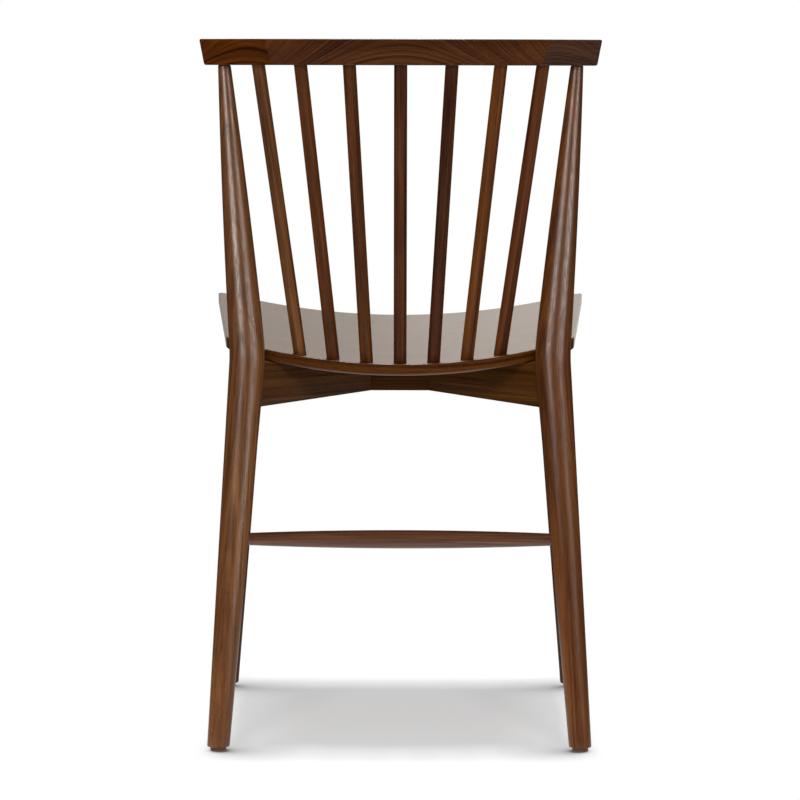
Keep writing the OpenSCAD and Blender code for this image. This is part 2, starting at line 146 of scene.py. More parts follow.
@dataclass(frozen=True)
class Walnut:
    """American black walnut, planed and sanded, under a satin clear lacquer.

    Growth layers show as brown bands along the piece and as arches where a face cuts them at a
    slant. Open pores show as short dark dashes, and the lacquer sinks a little into them. Lengths
    are in millimetres, and scales in cycles per millimetre along the grain and across it. Noise
    stays near 0.5, so each Map Range node that follows one spreads out its middle.

    Attributes:
        name: the material's name.
        tone: the colour halfway between the board's light and dark wood.
        contrast: how far light and dark wood lie from the tone.
        layer: a growth layer's thickness.
        crowding: how thick the zones are in which the pores crowd or thin out, in layers.
        pith: how far the trunk's middle lies from the piece's axis.
        tilt: the grain's slope to the piece's axis, in degrees.
        wander: how far the layers stray from their circles.
        streak: how much the slow streaks along the board darken it.
        fibre: how much the fibres show.
        stave: the width of the staves that are glued into a board, or 0 for one plank.
        seed: which part of the trunk the piece comes from.
        turn: the turn of Object coordinates on a piece without a grain attribute, in degrees.
        pore_width: a pore's width.
        pore_length: a pore's length.
        pore_depth: how deep the lacquer sinks over a pore.
        pore_cover: how much of the wood's colour a pore hides.
        pore_shade: how much darker than the tone a pore is.
        roughness: the roughness of the film.
        rougher: how much rougher the film is over a pore.
        smoother: how much smoother it is on closed wood.
        coat: the weight of the film as a coat.
        coat_mean: the share of that weight where the film lies evenly.
        coat_loss: the share that is lost over a pore.
        coat_gain: the share that is gained on closed wood.
        coat_roughness: the roughness of the coat.
        specular: the level of the wood's own mirror reflection.
        ior: the index of refraction of the wood and its film.
        gloss: the share of both reflections that the piece keeps, below 1 where it is duller.
        unevenness: how much the film's gloss varies over fibres and pores, 0 for an even film.
        deepening: painted shade, how much darker the piece gets above the seat.
        deepening_rise: the heights between which that painted shade comes in.
        seed_step: how far apart along the trunk two seeds lie.
        stave_step: how far apart across the trunk two neighbouring staves lie.
        drift: how fast the bands change along the grain.
        wander_scale: the scale of the layers' wander.
        streak_scale: the scale of the slow streaks.
        fibre_scale: the scale of the fibres.
        film_scale: the scale of the film's unevenness.
    """

    name: str
    tone: str = "#6c4023"
    contrast: float = 0.6
    layer: float = 2.4
    crowding: float = 1.7
    pith: Plan = (38.0, 55.0)
    tilt: float = 0.0
    wander: float = 2.5
    streak: float = 0.45
    fibre: float = 0.35
    stave: float = 0.0
    seed: float = 0.0
    turn: Point | None = None
    pore_width: float = 1.2
    pore_length: float = 11.0
    pore_depth: float = 0.05
    pore_cover: float = 0.7
    pore_shade: float = 0.8
    roughness: float = 0.34
    rougher: float = 0.13
    smoother: float = 0.1
    coat: float = 0.3
    coat_mean: float = 0.95
    coat_loss: float = 0.85
    coat_gain: float = 0.65
    coat_roughness: float = 0.27
    specular: float = 0.48
    ior: float = 1.5
    gloss: float = 1.0
    unevenness: float = 1.0
    deepening: float = 0.0
    deepening_rise: Plan = (400.0, 560.0)
    seed_step: float = 137.0
    stave_step: float = 17.3
    drift: float = 0.003
    wander_scale: Point = (0.0045, 0.022, 0.022)
    streak_scale: Point = (0.003, 0.05, 0.05)
    fibre_scale: Point = (0.012, 0.75, 0.75)
    film_scale: Point = (0.035, 0.75, 0.75)

    def build(self) -> Material:
        """Builds the material.

        Returns:
            The material, which reads the piece's grain attribute, or Object coordinates.
        """
        material, tree = blank_material(self.name)
        wood = self._wood_space(tree)
        distance, broad = self._distance(tree, wood)
        bands = self._bands(tree, wood, distance)
        pores = self._pores(tree, wood, distance)
        colour = self._colour(tree, bands, broad, pores)
        film = self._film(tree, wood, pores)
        rough = add(tree, "ShaderNodeMapRange", {
            "Value": film, "To Min": self.roughness + self.rougher * self.unevenness,
            "To Max": self.roughness - self.smoother * self.unevenness})
        bump = add(tree, "ShaderNodeBump", {
            "Strength": 1.0, "Distance": self.pore_depth * MM,
            "Height": add(tree, "ShaderNodeMath", {0: 1.0, 1: pores}, operation="SUBTRACT")})
        weight = self.coat * self.gloss
        coat = add(tree, "ShaderNodeMapRange", {
            "Value": film, "To Min": (self.coat_mean - self.coat_loss * self.unevenness) * weight,
            "To Max": (self.coat_mean + self.coat_gain * self.unevenness) * weight})
        shader = add(tree, "ShaderNodeBsdfPrincipled", {
            "Base Color": colour, "Roughness": rough, "IOR": self.ior, "Normal": bump,
            "Specular IOR Level": self.specular * self.gloss, "Coat Weight": coat,
            "Coat Roughness": self.coat_roughness, "Coat IOR": self.ior})
        add(tree, "ShaderNodeOutputMaterial", {"Surface": shader})
        return material

    def _wood_space(self, tree: Tree) -> Socket:
        """Finds the place in the trunk.

        Args:
            tree: the material's tree.

        Returns:
            The place in millimetres, with X along the grain and Y and Z across it.
        """
        if self.turn is None:
            place = add(tree, "ShaderNodeAttribute", attribute_name=GRAIN).outputs["Vector"]
        else:
            place = add(tree, "ShaderNodeMapping", {
                "Vector": add(tree, "ShaderNodeTexCoord").outputs["Object"],
                "Rotation": [math.radians(a) for a in self.turn]})
        scaled = add(tree, "ShaderNodeVectorMath", {0: place, "Scale": 1 / MM}, operation="SCALE")
        return add(tree, "ShaderNodeMapping", {
            "Vector": scaled, "Rotation": (0, math.radians(self.tilt), 0),
            "Location": (self.seed_step * self.seed, 0, 0)}).outputs[0]

    def _distance(self, tree: Tree, wood: Socket) -> tuple[Socket, Socket]:
        """Measures from the pith, with the wander of a real trunk.

        Args:
            tree: the material's tree.
            wood: the place in the trunk.

        Returns:
            The distance in millimetres, and a slow change of tone from 0 to 1.
        """
        slow = add(tree, "ShaderNodeMapping", {"Vector": wood, "Scale": self.wander_scale})
        wander = add(tree, "ShaderNodeTexNoise", {
            "Vector": slow, "Scale": 1.0, "Detail": 3.0, "Roughness": 0.45})
        shift = add(tree, "ShaderNodeMath", {
            0: wander.outputs["Fac"], 1: 2 * self.wander, 2: -self.wander}, operation="MULTIPLY_ADD")
        parts = add(tree, "ShaderNodeSeparateXYZ", {0: wood})
        across = parts.outputs["Y"]
        if self.stave:
            number = add(tree, "ShaderNodeMath", {
                0: add(tree, "ShaderNodeMath", {0: across, 1: self.stave}, operation="DIVIDE")},
                operation="FLOOR")
            step = add(tree, "ShaderNodeMath", {0: number, 1: self.stave_step}, operation="MULTIPLY")
            across = add(tree, "ShaderNodeMath", {0: step, 1: across}, operation="ADD")
        away = add(tree, "ShaderNodeCombineXYZ", {
            "Y": add(tree, "ShaderNodeMath", {0: across, 1: -self.pith[0]}, operation="ADD"),
            "Z": add(tree, "ShaderNodeMath", {0: parts.outputs["Z"], 1: -self.pith[1]},
                     operation="ADD")})
        length = add(tree, "ShaderNodeVectorMath", {0: away}, operation="LENGTH")
        distance = add(tree, "ShaderNodeMath", {0: length.outputs["Value"], 1: shift},
                       operation="ADD")
        tone = add(tree, "ShaderNodeTexNoise", {
            "Vector": add(tree, "ShaderNodeMapping", {
                "Vector": wood, "Scale": self.streak_scale, "Location": (0, 9 * self.seed, 3)}),
            "Scale": 1.0, "Detail": 2.0})
        broad = add(tree, "ShaderNodeMapRange", {
            "Value": tone.outputs["Fac"], "From Min": 0.33, "From Max": 0.67})
        return distance.outputs[0], broad.outputs[0]

    def _bands(self, tree: Tree, wood: Socket, distance: Socket) -> Socket:
        """Draws the growth layers, with the fibres over them.

        Args:
            tree: the material's tree.
            wood: the place in the trunk.
            distance: the distance from the pith.

        Returns:
            A value from 0 in dark late wood to 1 in light wood.
        """
        along = add(tree, "ShaderNodeSeparateXYZ", {0: wood}).outputs["X"]
        place = add(tree, "ShaderNodeCombineXYZ", {
            "X": add(tree, "ShaderNodeMath", {0: distance, 1: self.layer}, operation="DIVIDE"),
            "Y": add(tree, "ShaderNodeMath", {0: along, 1: self.drift}, operation="MULTIPLY"),
            "Z": 5.7 * self.seed})
        bands = add(tree, "ShaderNodeTexNoise", {
            "Vector": place, "Scale": 1.0, "Detail": 3.5, "Roughness": 0.8})
        fibre = add(tree, "ShaderNodeTexNoise", {
            "Vector": add(tree, "ShaderNodeMapping", {"Vector": wood, "Scale": self.fibre_scale}),
            "Scale": 1.0, "Detail": 3.0, "Roughness": 0.7})
        # Half of the fibres' strength comes off first, so that they leave the mean as it is.
        under = add(tree, "ShaderNodeMath", {0: bands.outputs["Fac"], 1: -0.5 * self.fibre},
                    operation="ADD")
        both = add(tree, "ShaderNodeMath", {0: fibre.outputs["Fac"], 1: self.fibre, 2: under},
                   operation="MULTIPLY_ADD")
        return add(tree, "ShaderNodeMapRange", {
            "Value": both, "From Min": 0.34, "From Max": 0.66}).outputs[0]

    def _pores(self, tree: Tree, wood: Socket, distance: Socket) -> Socket:
        """Draws the pores, which crowd in some layers.

        Real pores are 0.2 mm wide and a few millimetres long. They are drawn about six times as
        wide, or they wouldn't show from across a room.

        Args:
            tree: the material's tree.
            wood: the place in the trunk.
            distance: the distance from the pith.

        Returns:
            A value from 0 on closed wood to 1 in the middle of a pore.
        """
        along, across = 1 / self.pore_length, 1 / self.pore_width
        place = add(tree, "ShaderNodeMapping", {"Vector": wood, "Scale": (along, across, across)})
        cells = add(tree, "ShaderNodeTexVoronoi", {"Vector": place, "Scale": 1.0})
        zones = add(tree, "ShaderNodeTexNoise", {
            "Vector": add(tree, "ShaderNodeCombineXYZ", {
                "X": add(tree, "ShaderNodeMath", {0: distance, 1: self.crowding * self.layer},
                         operation="DIVIDE"), "Y": 3.1}),
            "Scale": 1.0, "Detail": 1.0})
        size = add(tree, "ShaderNodeMapRange", {
            "Value": zones.outputs["Fac"], "From Min": 0.35, "From Max": 0.65,
            "To Min": 0.1, "To Max": 0.46})
        return add(tree, "ShaderNodeMapRange", {
            "Value": cells.outputs["Distance"], "From Min": size, "From Max": 0.0},
            interpolation_type="SMOOTHSTEP").outputs[0]

    def _film(self, tree: Tree, wood: Socket, pores: Socket) -> Socket:
        """Works out how well the lacquer lies on the fibres.

        Args:
            tree: the material's tree.
            wood: the place in the trunk.
            pores: the pores.

        Returns:
            A value from 0 in a pore to 1 on smooth wood.
        """
        lines = add(tree, "ShaderNodeTexNoise", {
            "Vector": add(tree, "ShaderNodeMapping", {
                "Vector": wood, "Scale": self.film_scale, "Location": (3.3, 1.7, 5.1)}),
            "Scale": 1.0, "Detail": 2.5, "Roughness": 0.7})
        smooth_wood = add(tree, "ShaderNodeMapRange", {
            "Value": lines.outputs["Fac"], "From Min": 0.28, "From Max": 0.66})
        closed = add(tree, "ShaderNodeMath", {0: 1.0, 1: pores}, operation="SUBTRACT")
        return add(tree, "ShaderNodeMath", {0: smooth_wood, 1: closed},
                   operation="MULTIPLY").outputs[0]

    def _colour(self, tree: Tree, bands: Socket, broad: Socket, pores: Socket) -> Socket:
        """Mixes the colour from dark to light heartwood around the board's tone.

        Args:
            tree: the material's tree.
            bands: the growth layers.
            broad: the slow change of tone.
            pores: the pores.

        Returns:
            The colour.
        """
        dark, light = self._shade(-self.contrast), self._shade(self.contrast)
        full = add(tree, "ShaderNodeMix", {"Factor": bands, 6: dark, 7: light}, data_type="RGBA")
        streaks = add(tree, "ShaderNodeMath", {0: broad, 1: self.streak}, operation="MULTIPLY")
        toned = add(tree, "ShaderNodeMix", {"Factor": streaks, 6: full.outputs[2], 7: dark},
                    data_type="RGBA")
        # Painted shade: the wood is mixed towards dark with height above the seat, standing in for
        # the shade on the back posts.
        if self.deepening:
            height = add(tree, "ShaderNodeSeparateXYZ", {
                0: add(tree, "ShaderNodeTexCoord").outputs["Object"]}).outputs["Z"]
            post_shade_share = add(tree, "ShaderNodeMapRange", {
                "Value": height, **between(self.deepening_rise), "To Max": self.deepening})
            toned = add(tree, "ShaderNodeMix", {"Factor": post_shade_share, 6: toned.outputs[2], 7: dark},
                        data_type="RGBA")
        cover = add(tree, "ShaderNodeMath", {0: pores, 1: self.pore_cover}, operation="MULTIPLY")
        return add(tree, "ShaderNodeMix", {
            "Factor": cover, 6: toned.outputs[2], 7: self._shade(-self.pore_shade)},
            data_type="RGBA").outputs[2]

    def _shade(self, change: float) -> tuple[float, float, float, float]:
        """Changes the board's tone, green and blue a little more than red.

        Args:
            change: above 0 for lighter and more golden wood, below 0 for darker and redder wood.

        Returns:
            The colour in linear values.
        """
        red, green, blue, alpha = linear(self.tone)
        shares = [max(0.0, 1 + gain * change) for gain in (1.0, 1.12, 1.3)]
        return (red * shares[0], green * shares[1], blue * shares[2], alpha)


@dataclass(frozen=True)
class MouldedPlastic:
    """Polyethylene glide, injection moulded with a fine spark texture, dull where the floor rubs it.

    Attributes:
        name: the material's name.
        colour: the plastic's colour.
        scuffed: its colour where it is rubbed.
        scuff_rise: the heights between which the rubbed colour comes in, in millimetres.
        roughness: its roughness.
        smoother: how much smoother the texture's hollows are.
        rougher: how much rougher its grains are.
        texture_grain: the size of a grain in millimetres.
        texture_height: its height in millimetres.
        ior: its index of refraction.
    """

    name: str = "brown_polyethylene_moulded"
    colour: str = "#5c3a2b"
    scuffed: str = "#7a5d4c"
    scuff_rise: Plan = (1.2, 0.2)
    roughness: float = 0.5
    smoother: float = 0.08
    rougher: float = 0.12
    texture_grain: float = 0.4
    texture_height: float = 0.02
    ior: float = 1.51

    def build(self) -> Material:
        """Builds the material from Object coordinates.

        Returns:
            The material.
        """
        material, tree = blank_material(self.name)
        place = add(tree, "ShaderNodeTexCoord").outputs["Object"]
        grain = add(tree, "ShaderNodeTexNoise", {
            "Vector": place, "Scale": 1 / (self.texture_grain * MM), "Detail": 1.0})
        height = add(tree, "ShaderNodeSeparateXYZ", {0: place}).outputs["Z"]
        scuff = add(tree, "ShaderNodeMapRange", {"Value": height, **between(self.scuff_rise)})
        colour = add(tree, "ShaderNodeMix", {
            "Factor": scuff, 6: linear(self.colour), 7: linear(self.scuffed)}, data_type="RGBA")
        rough = add(tree, "ShaderNodeMapRange", {
            "Value": grain.outputs["Fac"], "To Min": self.roughness - self.smoother,
            "To Max": self.roughness + self.rougher})
        bump = add(tree, "ShaderNodeBump", {
            "Strength": 0.6, "Distance": self.texture_height * MM, "Height": grain.outputs["Fac"]})
        shader = add(tree, "ShaderNodeBsdfPrincipled", {
            "Base Color": colour.outputs[2], "Roughness": rough, "IOR": self.ior, "Normal": bump})
        add(tree, "ShaderNodeOutputMaterial", {"Surface": shader})
        return material


@dataclass(frozen=True)
class ZincSteel:
    """Mild steel wire, headed cold and zinc plated: a pale blue-grey metal with cloudy patches.

    Attributes:
        name: the material's name.
        colour: the metal's colour.
        cloud: its colour in a dark patch.
        patch: the size of a patch in millimetres.
        roughness: the roughness of light and of dark patches.
    """

    name: str = "zinc_plated_steel_drawn"
    colour: str = "#b4b6b8"
    cloud: str = "#8f9194"
    patch: float = 1.5
    roughness: Plan = (0.28, 0.48)

    def build(self) -> Material:
        """Builds the material from Object coordinates.

        Returns:
            The material.
        """
        material, tree = blank_material(self.name)
        place = add(tree, "ShaderNodeTexCoord").outputs["Object"]
        clouds = add(tree, "ShaderNodeTexNoise", {
            "Vector": place, "Scale": 1 / (self.patch * MM), "Detail": 3.0})
        colour = add(tree, "ShaderNodeMix", {
            "Factor": clouds.outputs["Fac"], 6: linear(self.colour), 7: linear(self.cloud)},
            data_type="RGBA")
        rough = add(tree, "ShaderNodeMapRange", {
            "Value": clouds.outputs["Fac"], "To Min": self.roughness[0], "To Max": self.roughness[1]})
        shader = add(tree, "ShaderNodeBsdfPrincipled", {
            "Base Color": colour.outputs[2], "Metallic": 1.0, "Roughness": rough})
        add(tree, "ShaderNodeOutputMaterial", {"Surface": shader})
        return material


@dataclass(frozen=True)
class ChairPlan:
    """The sizes that more than one sub-assembly shares, and the places that follow from them.

    A spread is the distance between the same place on the left and on the right. The seat's dish
    is the radius of its hollow from side to side, and its front and rear radius are those of its
    edges in plan. A spindle's reach is the distance of its head from the middle plane. The foot
    base is the distance from front to rear feet, and a front leg's run is how far back it leans.
    """

    height: float = 790.0
    depth: float = 526.0
    seat_height: float = 430.0
    seat_slope: float = 3.5
    seat_thickness: float = 13.0
    seat_depth: float = 449.0
    seat_front_width: float = 447.0
    seat_rear_width: float = 384.0
    seat_dish: float = 845.0
    seat_rear_radius: float = 414.0
    seat_front_radius: float = 2600.0
    seat_front_corner: float = 18.0
    seat_rear_corner: float = 30.0
    crest_height: float = 28.5
    crest_thickness: float = 24.0
    crest_radius: float = 505.0
    crest_rake: float = 10.0
    spindle_pitch: float = 37.4
    spindle_inset: float = 16.5
    spindle_reaches: tuple[float, ...] = (0.0, 56.0, 109.5, 156.0)
    rear_foot_spread: float = 404.0
    rear_foot_inset: float = 48.0
    bend_spread: float = 340.0
    bend_rise: float = 10.0
    bend_radius: float = 20.0
    post_spread: float = 388.0
    foot_radius: float = 12.5
    seat_leg_gap: float = 0.7
    foot_base: float = 455.0
    front_foot_spread: float = 422.0
    front_top_spread: float = 360.0
    front_leg_run: float = 43.0
    stretcher_height: float = 210.0
    glide_height: float = 5.0

    @property
    def crest_bottom(self) -> float:
        """Height of the crest rail's underside."""
        return self.height - self.crest_height

    @property
    def crest_lean(self) -> float:
        """How far the crest rail's faces lean back over its height."""
        return self.crest_height * math.tan(math.radians(self.crest_rake))

    @property
    def crest_axis_y(self) -> float:
        """Y of the upright axis that the crest rail curves round."""
        return self.depth / 2 - self.crest_radius - self.crest_thickness / 2 - self.crest_lean

    @property
    def seat_y(self) -> float:
        """Y of the middle of the seat's rear edge."""
        slope = math.radians(self.seat_slope)
        return (self.seat_depth * math.cos(slope) + self.seat_thickness * math.sin(slope)
                - self.depth / 2)

    @property
    def seat_matrix(self) -> Matrix:
        """Takes the seat's own frame to the chair's, in millimetres."""
        turn = Euler((math.radians(-self.seat_slope), 0, 0)).to_matrix().to_4x4()
        return Matrix.Translation((0, self.seat_y, self.seat_height)) @ turn

    def seat_face(self, x: float) -> float:
        """Rise of the seat's upper face above its middle."""
        return self.seat_dish - math.sqrt(self.seat_dish ** 2 - x * x)

    def seat_underside(self, x: float) -> float:
        """Level of the seat's underside in the seat's own frame."""
        return self.seat_dish - math.sqrt((self.seat_dish + self.seat_thickness) ** 2 - x * x)

    def under_crest(self, x: float) -> Vector:
        """The middle of the crest rail's underside at a distance from the middle plane."""
        y = self.crest_axis_y + math.sqrt(self.crest_radius ** 2 - x * x)
        return Vector((x, y, self.crest_bottom))

    def spindle_foot(self, place: int) -> Vector:
        """Finds where a spindle's axis meets the seat.

        Args:
            place: the spindle's place, counted from the middle to the sitter's left.

        Returns:
            The place on the seat's face.
        """
        x = place * self.spindle_pitch
        radius = self.seat_rear_radius
        y = math.sqrt((radius - self.spindle_inset) ** 2 - x * x) - radius
        return self.seat_matrix @ Vector((x, y, self.seat_face(x)))

    def spindle_head(self, place: int) -> Vector:
        """Where a spindle's axis meets the crest rail."""
        return self.under_crest(math.copysign(self.spindle_reaches[abs(place)], place))

    def seat_normal(self, x: float) -> Vector:
        """Upward normal of the seat's face."""
        local = Vector((-x, 0, math.sqrt(self.seat_dish ** 2 - x * x))).normalized()
        return self.seat_matrix.to_3x3() @ local

    def rear_foot(self, side: Side) -> Vector:
        """Middle of a rear leg on the floor."""
        y = self.depth / 2 - self.rear_foot_inset
        return Vector((side.value * self.rear_foot_spread / 2, y, 0))

    def bend(self, side: Side) -> Vector:
        """Finds the corner of a rear leg's axis, clear of the seat's rear edge.

        Args:
            side: the leg's side.

        Returns:
            The corner, which the leg's bend rounds.
        """
        reach = self.seat_rear_radius + self.seat_leg_gap + self.bend_radius
        y = self.seat_y - self.seat_rear_radius * math.cos(math.radians(self.seat_slope))
        y += math.sqrt(reach ** 2 - (self.bend_spread / 2) ** 2)
        return Vector((side.value * self.bend_spread / 2, y, self.seat_height + self.bend_rise))

    def front_foot(self, side: Side) -> Vector:
        """Middle of a front leg on the floor."""
        y = self.rear_foot(side).y - self.foot_base
        return Vector((side.value * self.front_foot_spread / 2, y, 0))

    def front_top(self, side: Side) -> Vector:
        """Middle of a front leg at the height of the bends."""
        y = self.front_foot(side).y + self.front_leg_run
        return Vector((side.value * self.front_top_spread / 2, y, self.bend(side).z))


def at_height(low: Vector, high: Vector, z: float) -> Vector:
    """The place on the line through two places at a height."""
    return low.lerp(high, (z - low.z) / (high.z - low.z))


def linked(name: str, data: bpy.types.ID) -> Piece:
    """Makes an object of a mesh, a light or a camera.

    Args:
        name: the object's name.
        data: what it shows.

    Returns:
        The new object at the origin, linked to the scene.
    """
    obj = bpy.data.objects.new(name, data)
    bpy.context.scene.collection.objects.link(obj)
    return obj


def apply_modifiers(obj: Piece) -> None:
    """Replaces an object's mesh by the plain mesh that its modifiers make.

    Args:
        obj: the object, which loses its modifiers.
    """
    bpy.context.view_layer.update()
    evaluated = obj.evaluated_get(bpy.context.evaluated_depsgraph_get())
    mesh = bpy.data.meshes.new_from_object(evaluated)
    obj.modifiers.clear()
    obj.data = mesh


def node_group(name: str, inputs: dict[str, Sequence[str]]) -> tuple[Tree, dict[str, str]]:
    """Starts a tree of Geometry Nodes.

    Args:
        name: the tree's name.
        inputs: the names of its inputs for each kind of socket.

    Returns:
        The tree, and the identifiers of its inputs by name.
    """
    tree = bpy.data.node_groups.new(name, "GeometryNodeTree")
    tree.interface.new_socket("Geometry", in_out="OUTPUT", socket_type="NodeSocketGeometry")
    sockets = [tree.interface.new_socket(item, in_out="INPUT", socket_type="NodeSocket" + kind)
               for kind, items in inputs.items() for item in items]
    return tree, {socket.name: socket.identifier for socket in sockets}


def grow(obj: Piece, tree: Tree, identifiers: dict[str, str], values: dict) -> None:
    """Gives an object the mesh that a tree of Geometry Nodes makes.

    Args:
        obj: the object, with the tree's input geometry if it has one.
        tree: the tree.
        identifiers: the identifiers of its inputs by name.
        values: the values of its inputs by name.
    """
    modifier = obj.modifiers.new(tree.name, "NODES")
    modifier.node_group = tree
    for key, value in values.items():
        modifier[identifiers[key]] = value
    apply_modifiers(obj)


def smooth(obj: Piece, angle: float = 35.0) -> None:
    """Shades an object smooth.

    Args:
        obj: the object.
        angle: edges sharper than this, in degrees, stay sharp.
    """
    for face in obj.data.polygons:
        face.use_smooth = True
    obj.data.set_sharp_from_angle(angle=math.radians(angle))


def soften(obj: Piece, width: float, angle: float = 40.0, segments: int = 3) -> None:
    """Rounds an object's arrises, as sandpaper does.

    Args:
        obj: the piece.
        width: the round's width in millimetres.
        angle: edges that turn more than this, in degrees, are rounded.
        segments: how many faces make the round.
    """
    bevel = obj.modifiers.new("sanded_arrises", "BEVEL")
    bevel.width = width * MM
    bevel.segments = segments
    bevel.limit_method = "ANGLE"
    bevel.angle_limit = math.radians(angle)
    bevel.harden_normals = False
    apply_modifiers(obj)
    smooth(obj)


def settle(obj: Piece, nodes: Sequence[str]) -> Piece:
    """Makes a finished piece stand for its nodes and ride on the chair's body.

    Args:
        obj: the piece, in place.
        nodes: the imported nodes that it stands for.

    Returns:
        The same piece.
    """
    low, high = (Vector(c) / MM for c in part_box(nodes[0]))
    corners = [v.co / MM for v in obj.data.vertices]
    own_low = Vector([min(c[i] for c in corners) for i in range(3)])
    own_high = Vector([max(c[i] for c in corners) for i in range(3)])
    reach = [round(max((low - own_low)[i], (own_high - high)[i]), 1) for i in range(3)]
    LOG.info("%s: %d faces, past its node by %s mm", obj.name, len(obj.data.polygons), reach)
    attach(obj, BODY)
    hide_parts(*nodes)
    return obj


def loft(name: str, rings: Sequence[Sequence[Vector]], wood: Callable[[Vector], Vector],
         material: Material, poles: tuple[Vector | None, Vector | None] = (None, None)
         ) -> Piece:
    """Skins closed rings of equal counts into one closed piece.

    Args:
        name: the piece's name.
        rings: the rings in order, in millimetres.
        wood: gives a place's wood space, in millimetres.
        material: the finish.
        poles: a place that closes the first and the last ring, or None for a flat face.

    Returns:
        The new object, at the origin.
    """
    mesh = bpy.data.meshes.new(name)
    build = bmesh.new()
    rows = [[build.verts.new(p * MM) for p in ring] for ring in rings]
    count = len(rows[0])
    for low, high in zip(rows, rows[1:]):
        for i in range(count):
            j = (i + 1) % count
            build.faces.new((low[i], low[j], high[j], high[i]))
    for row, pole, flip in ((rows[0], poles[0], True), (rows[-1], poles[1], False)):
        if pole is None:
            build.faces.new(row[::-1] if flip else row)
        else:
            tip = build.verts.new(pole * MM)
            for i in range(count):
                pair = (row[i], row[(i + 1) % count])
                build.faces.new((pair[1], pair[0], tip) if flip else (pair[0], pair[1], tip))
    bmesh.ops.recalc_face_normals(build, faces=build.faces)
    build.to_mesh(mesh)
    build.free()
    obj = linked(name, mesh)
    mesh.materials.append(material)
    store_grain(obj, wood)
    smooth(obj)
    return obj


def store_grain(obj: Piece, wood: Callable[[Vector], Vector]) -> None:
    """Stores each point's place in the board, in metres, for the wood finishes to read.

    Args:
        obj: the piece.
        wood: gives a place's wood space, in millimetres.
    """
    attribute = obj.data.attributes.new(GRAIN, "FLOAT_VECTOR", "POINT")
    for i, vertex in enumerate(obj.data.vertices):
        attribute.data[i].vector = wood(vertex.co / MM) * MM


def rounded(corners: Sequence[Plan], radius: float, steps: int) -> list[Plan]:
    """Rounds the corners of a convex polygon.

    Args:
        corners: the polygon, anticlockwise.
        radius: the corner radius.
        steps: faces in each round.

    Returns:
        steps + 1 points for each corner.
    """
    points = []
    for i, corner in enumerate(corners):
        here = Vector(corner)
        to_last = (Vector(corners[i - 1]) - here).normalized()
        to_next = (Vector(corners[(i + 1) % len(corners)]) - here).normalized()
        half = to_last.angle(to_next) / 2
        middle = here + (to_last + to_next).normalized() * radius / math.sin(half)
        start = (here + to_last * radius / math.tan(half)) - middle
        end = (here + to_next * radius / math.tan(half)) - middle
        sweep = start.angle_signed(end)
        for k in range(steps + 1):
            turned = start.copy()
            turned.rotate(Matrix.Rotation(-sweep * k / steps, 2))
            points.append(tuple(middle + turned))
    return points


def arc(middle: Vector, radius: float, first: float, last: float, steps: int) -> list[Vector]:
    """Lays points on an arc in plan.

    Args:
        middle: the arc's middle.
        radius: its radius.
        first: the angle that it starts at.
        last: the angle that it ends at.
        steps: how many parts it has.

    Returns:
        The ends of the parts, without the last one.
    """
    turns = [first + (last - first) * i / steps for i in range(steps)]
    return [middle + radius * Vector((math.cos(a), math.sin(a))) for a in turns]


